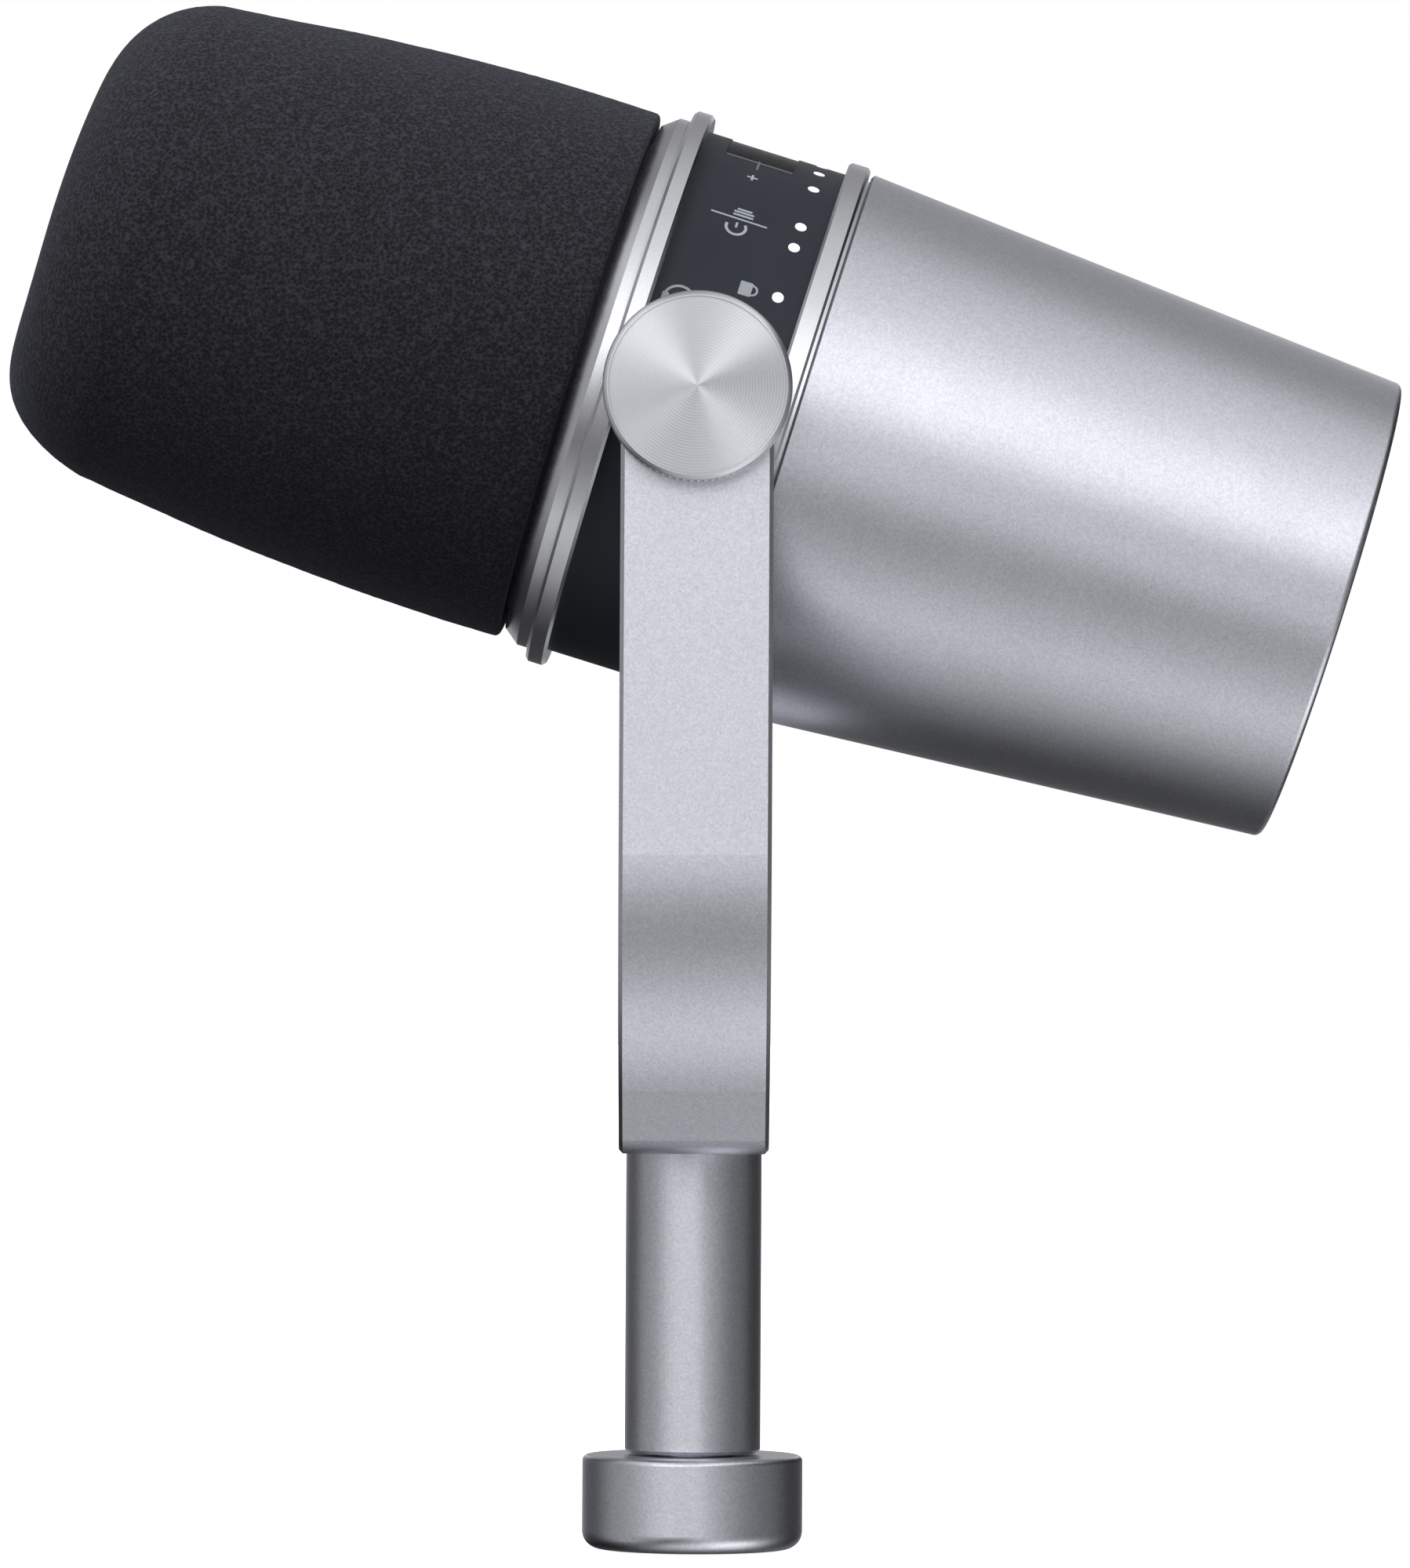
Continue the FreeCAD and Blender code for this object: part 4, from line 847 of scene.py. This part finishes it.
# ---- studio
def studio_world():
    """Soft studio: a broad panel high in front, a dimmer room below and behind, light off the floor."""
    world = bpy.data.worlds.new("studio")
    bpy.context.scene.world = world
    world.use_nodes = True
    tree = world.node_tree
    tree.nodes.clear()

    def add(kind, **settings):
        node = tree.nodes.new(kind)
        for key, value in settings.items():
            setattr(node, key, value)
        return node

    def feed(node, *values):
        for socket, value in zip(node.inputs, values):
            if isinstance(value, (int, float)):
                socket.default_value = value
            else:
                tree.links.new(value, socket)
        return node.outputs[0]

    def calc(operation, *values):
        return feed(add("ShaderNodeMath", operation=operation), *values)

    def level(value, stops):
        node = add("ShaderNodeValToRGB")
        elements = node.color_ramp.elements
        while len(elements) < len(stops):
            elements.new(0.5)
        for element, (place, bright) in zip(elements, stops):
            element.position = place
            element.color = (bright, bright, bright, 1)
        node.color_ramp.interpolation = "EASE"
        tree.links.new(value, node.inputs["Fac"])
        return node.outputs["Color"]

    def turn(value):
        return calc("ADD", calc("DIVIDE", value, 2 * math.pi), 0.5)

    coords = add("ShaderNodeTexCoord")
    split = add("ShaderNodeSeparateXYZ")
    tree.links.new(coords.outputs["Generated"], split.inputs["Vector"])
    x, y, z = split.outputs
    rise = turn(calc("ARCTAN2", z, calc("MULTIPLY", y, -1.0)))
    by_rise = level(rise, [((d + 180) / 360, b) for d, b in rise_levels])
    around = turn(calc("ARCTAN2", z, x))
    by_around = level(around, [((d + 180) / 360, b) for d, b in around_levels])
    aside = calc("ABSOLUTE", x)
    by_side = level(aside, side_levels)
    off_centre = calc("SQRT", calc("ADD", calc("MULTIPLY", x, x), calc("MULTIPLY", z, z)))
    spread = level(off_centre, head_on_levels)
    shaped = calc("ADD", calc("MULTIPLY", calc("SUBTRACT", by_around, 1.0), spread), 1.0)
    to_side = level(aside, to_side_levels)
    mixed = calc("ADD", calc("MULTIPLY", by_rise, calc("SUBTRACT", 1.0, to_side)),
                 calc("MULTIPLY", to_side, side_tone))
    behind = calc("MULTIPLY", level(aside, dim_aside_levels), level(y, dim_behind_levels))
    in_front = calc("MULTIPLY", by_side, calc("SUBTRACT", 1.0, behind))
    mirrored = calc("MULTIPLY", calc("MULTIPLY", mixed, shaped), in_front)
    height = calc("ADD", calc("DIVIDE", z, 2.0), 0.5)
    soft = level(height, [((h + 1) / 2, b) for h, b in soft_levels])
    dull = add("ShaderNodeLightPath").outputs["Is Diffuse Ray"]
    total = calc("ADD", calc("MULTIPLY", soft, dull), calc("MULTIPLY", mirrored, calc("SUBTRACT", 1.0, dull)))
    tint = add("ShaderNodeCombineXYZ")
    feed(tint, *(calc("MULTIPLY", total, share) for share in studio_tint))
    back = add("ShaderNodeBackground")
    tree.links.new(tint.outputs[0], back.inputs["Color"])
    back.inputs["Strength"].default_value = studio_strength
    out = add("ShaderNodeOutputWorld")
    tree.links.new(back.outputs["Background"], out.inputs["Surface"])


# brightness by the angle up from straight ahead of the camera, over the top and under the floor
rise_levels = [(-180, 0.42), (-160, 0.10), (-128, 0.06), (-106, 0.20), (-90, 0.52), (-78, 0.74), (-64, 0.98),
               (-47, 0.60), (-27, 0.25), (-9, 0.56), (4, 0.86), (20, 1.04), (37, 0.78), (57, 0.52),
               (80, 0.42), (106, 0.32), (128, 0.22), (150, 0.20), (168, 0.40), (180, 0.42)]
# brightness round the camera's line of sight, from the right, over the top to the left
around_levels = [(-180, 0.98), (-154, 0.95), (-134, 0.16), (-118, 0.24), (-106, 0.62), (-84, 0.84),
                 (-62, 1.50), (-42, 1.50), (-20, 0.75), (-8, 0.50), (2, 0.46), (14, 0.20), (28, 0.18),
                 (52, 1.75), (64, 1.60), (74, 1.20), (90, 0.92), (104, 0.74), (122, 1.55), (137, 1.55),
                 (154, 1.0), (180, 0.98)]
side_levels = [(0.0, 1.0), (0.35, 1.03), (0.6, 0.95), (0.8, 0.72), (1.0, 0.55)]
side_tone = 0.5
# how far the pattern round the line of sight shows, by the distance from that line
head_on_levels = [(0.0, 0.0), (0.13, 1.0)]
# where the tone of the sides takes over, and how far the room behind the microphone is dimmed
to_side_levels = [(0.72, 0.0), (0.97, 1.0)]
dim_aside_levels = [(0.22, 0.0), (0.55, 0.72)]
dim_behind_levels = [(0.0, 0.0), (0.45, 1.0)]
# soft light on dull surfaces, by height: from above, little from below
soft_levels = [(-1.0, 0.08), (-0.3, 0.15), (0.15, 0.38), (0.6, 0.85), (1.0, 1.15)]
studio_strength = 1.2
studio_tint = (1.0, 1.004, 1.03)


def shown_only_to_camera(obj):
    obj.visible_glossy = False
    obj.visible_diffuse = False
    obj.visible_transmission = False
    obj.visible_shadow = False


def emission(name, bright):
    material = bpy.data.materials.new(name)
    material.use_nodes = True
    tree = material.node_tree
    tree.nodes.clear()
    out = tree.nodes.new("ShaderNodeOutputMaterial")
    light = tree.nodes.new("ShaderNodeEmission")
    light.inputs["Color"].default_value = (bright, bright, bright, 1)
    tree.links.new(light.outputs["Emission"], out.inputs["Surface"])
    return material


def backdrop():
    bm = bmesh.new()
    bmesh.ops.create_uvsphere(bm, u_segments=48, v_segments=24, radius=backdrop_r)
    obj = finished("backdrop", bm, Matrix.Identity(4))
    obj.data.materials.append(emission("backdrop_white", 1.0))
    shown_only_to_camera(obj)


def floor():
    bm = bmesh.new()
    bmesh.ops.create_circle(bm, cap_ends=True, segments=96, radius=floor_r)
    obj = finished("floor", bm, Matrix.Translation((0, 0, -floor_gap)))
    f = Finish("floor_white", Roughness=0.9, Specular_IOR_Level=0.1, Emission_Color=(1, 1, 1, 1),
               Emission_Strength=0.80)
    f.colour(f.ramp(f.noise(60), *tones((0.90, 0.90, 0.90), 0.01)))
    obj.data.materials.append(f.material)
    obj.visible_glossy = False
    obj.visible_diffuse = False


def softbox(name, place, aim, size, power):
    light = bpy.data.lights.new(name, "AREA")
    light.shape = "RECTANGLE"
    light.size, light.size_y = size
    light.energy = power
    obj = bpy.data.objects.new(name, light)
    bpy.context.scene.collection.objects.link(obj)
    obj.location = place
    obj.rotation_mode = "QUATERNION"
    obj.rotation_quaternion = (Vector(aim) - Vector(place)).to_track_quat("-Z", "Y")
    obj.visible_glossy = False


def camera():
    cam = bpy.data.cameras.new("camera")
    obj = bpy.data.objects.new("camera", cam)
    bpy.context.scene.collection.objects.link(obj)
    bpy.context.scene.camera = obj
    cam.lens = camera_lens
    cam.sensor_width = 36.0
    cam.clip_start, cam.clip_end = 0.01, 50.0
    obj.location = (camera_side, -camera_distance, camera_height)
    level = Matrix.Rotation(math.radians(90 + camera_pitch), 4, "X")
    roll = Matrix.Rotation(math.radians(camera_roll), 4, "Z")
    obj.rotation_mode = "QUATERNION"
    obj.rotation_quaternion = (level @ roll).to_quaternion()


backdrop_r = 8.0
floor_r = 7.0
floor_gap = 0.2 * MM
camera_distance = 0.950
camera_height = 0.0647
camera_side = 0.00103
camera_pitch = 1.325
camera_roll = 0.30
camera_lens = 191.96

bpy.context.scene.view_settings.view_transform = "Standard"
bpy.context.scene.view_settings.look = "None"
studio_world()
backdrop()
floor()
softbox("key", (-0.45, -0.75, 0.85), pivot, (0.6, 0.4), 5.0)
camera()
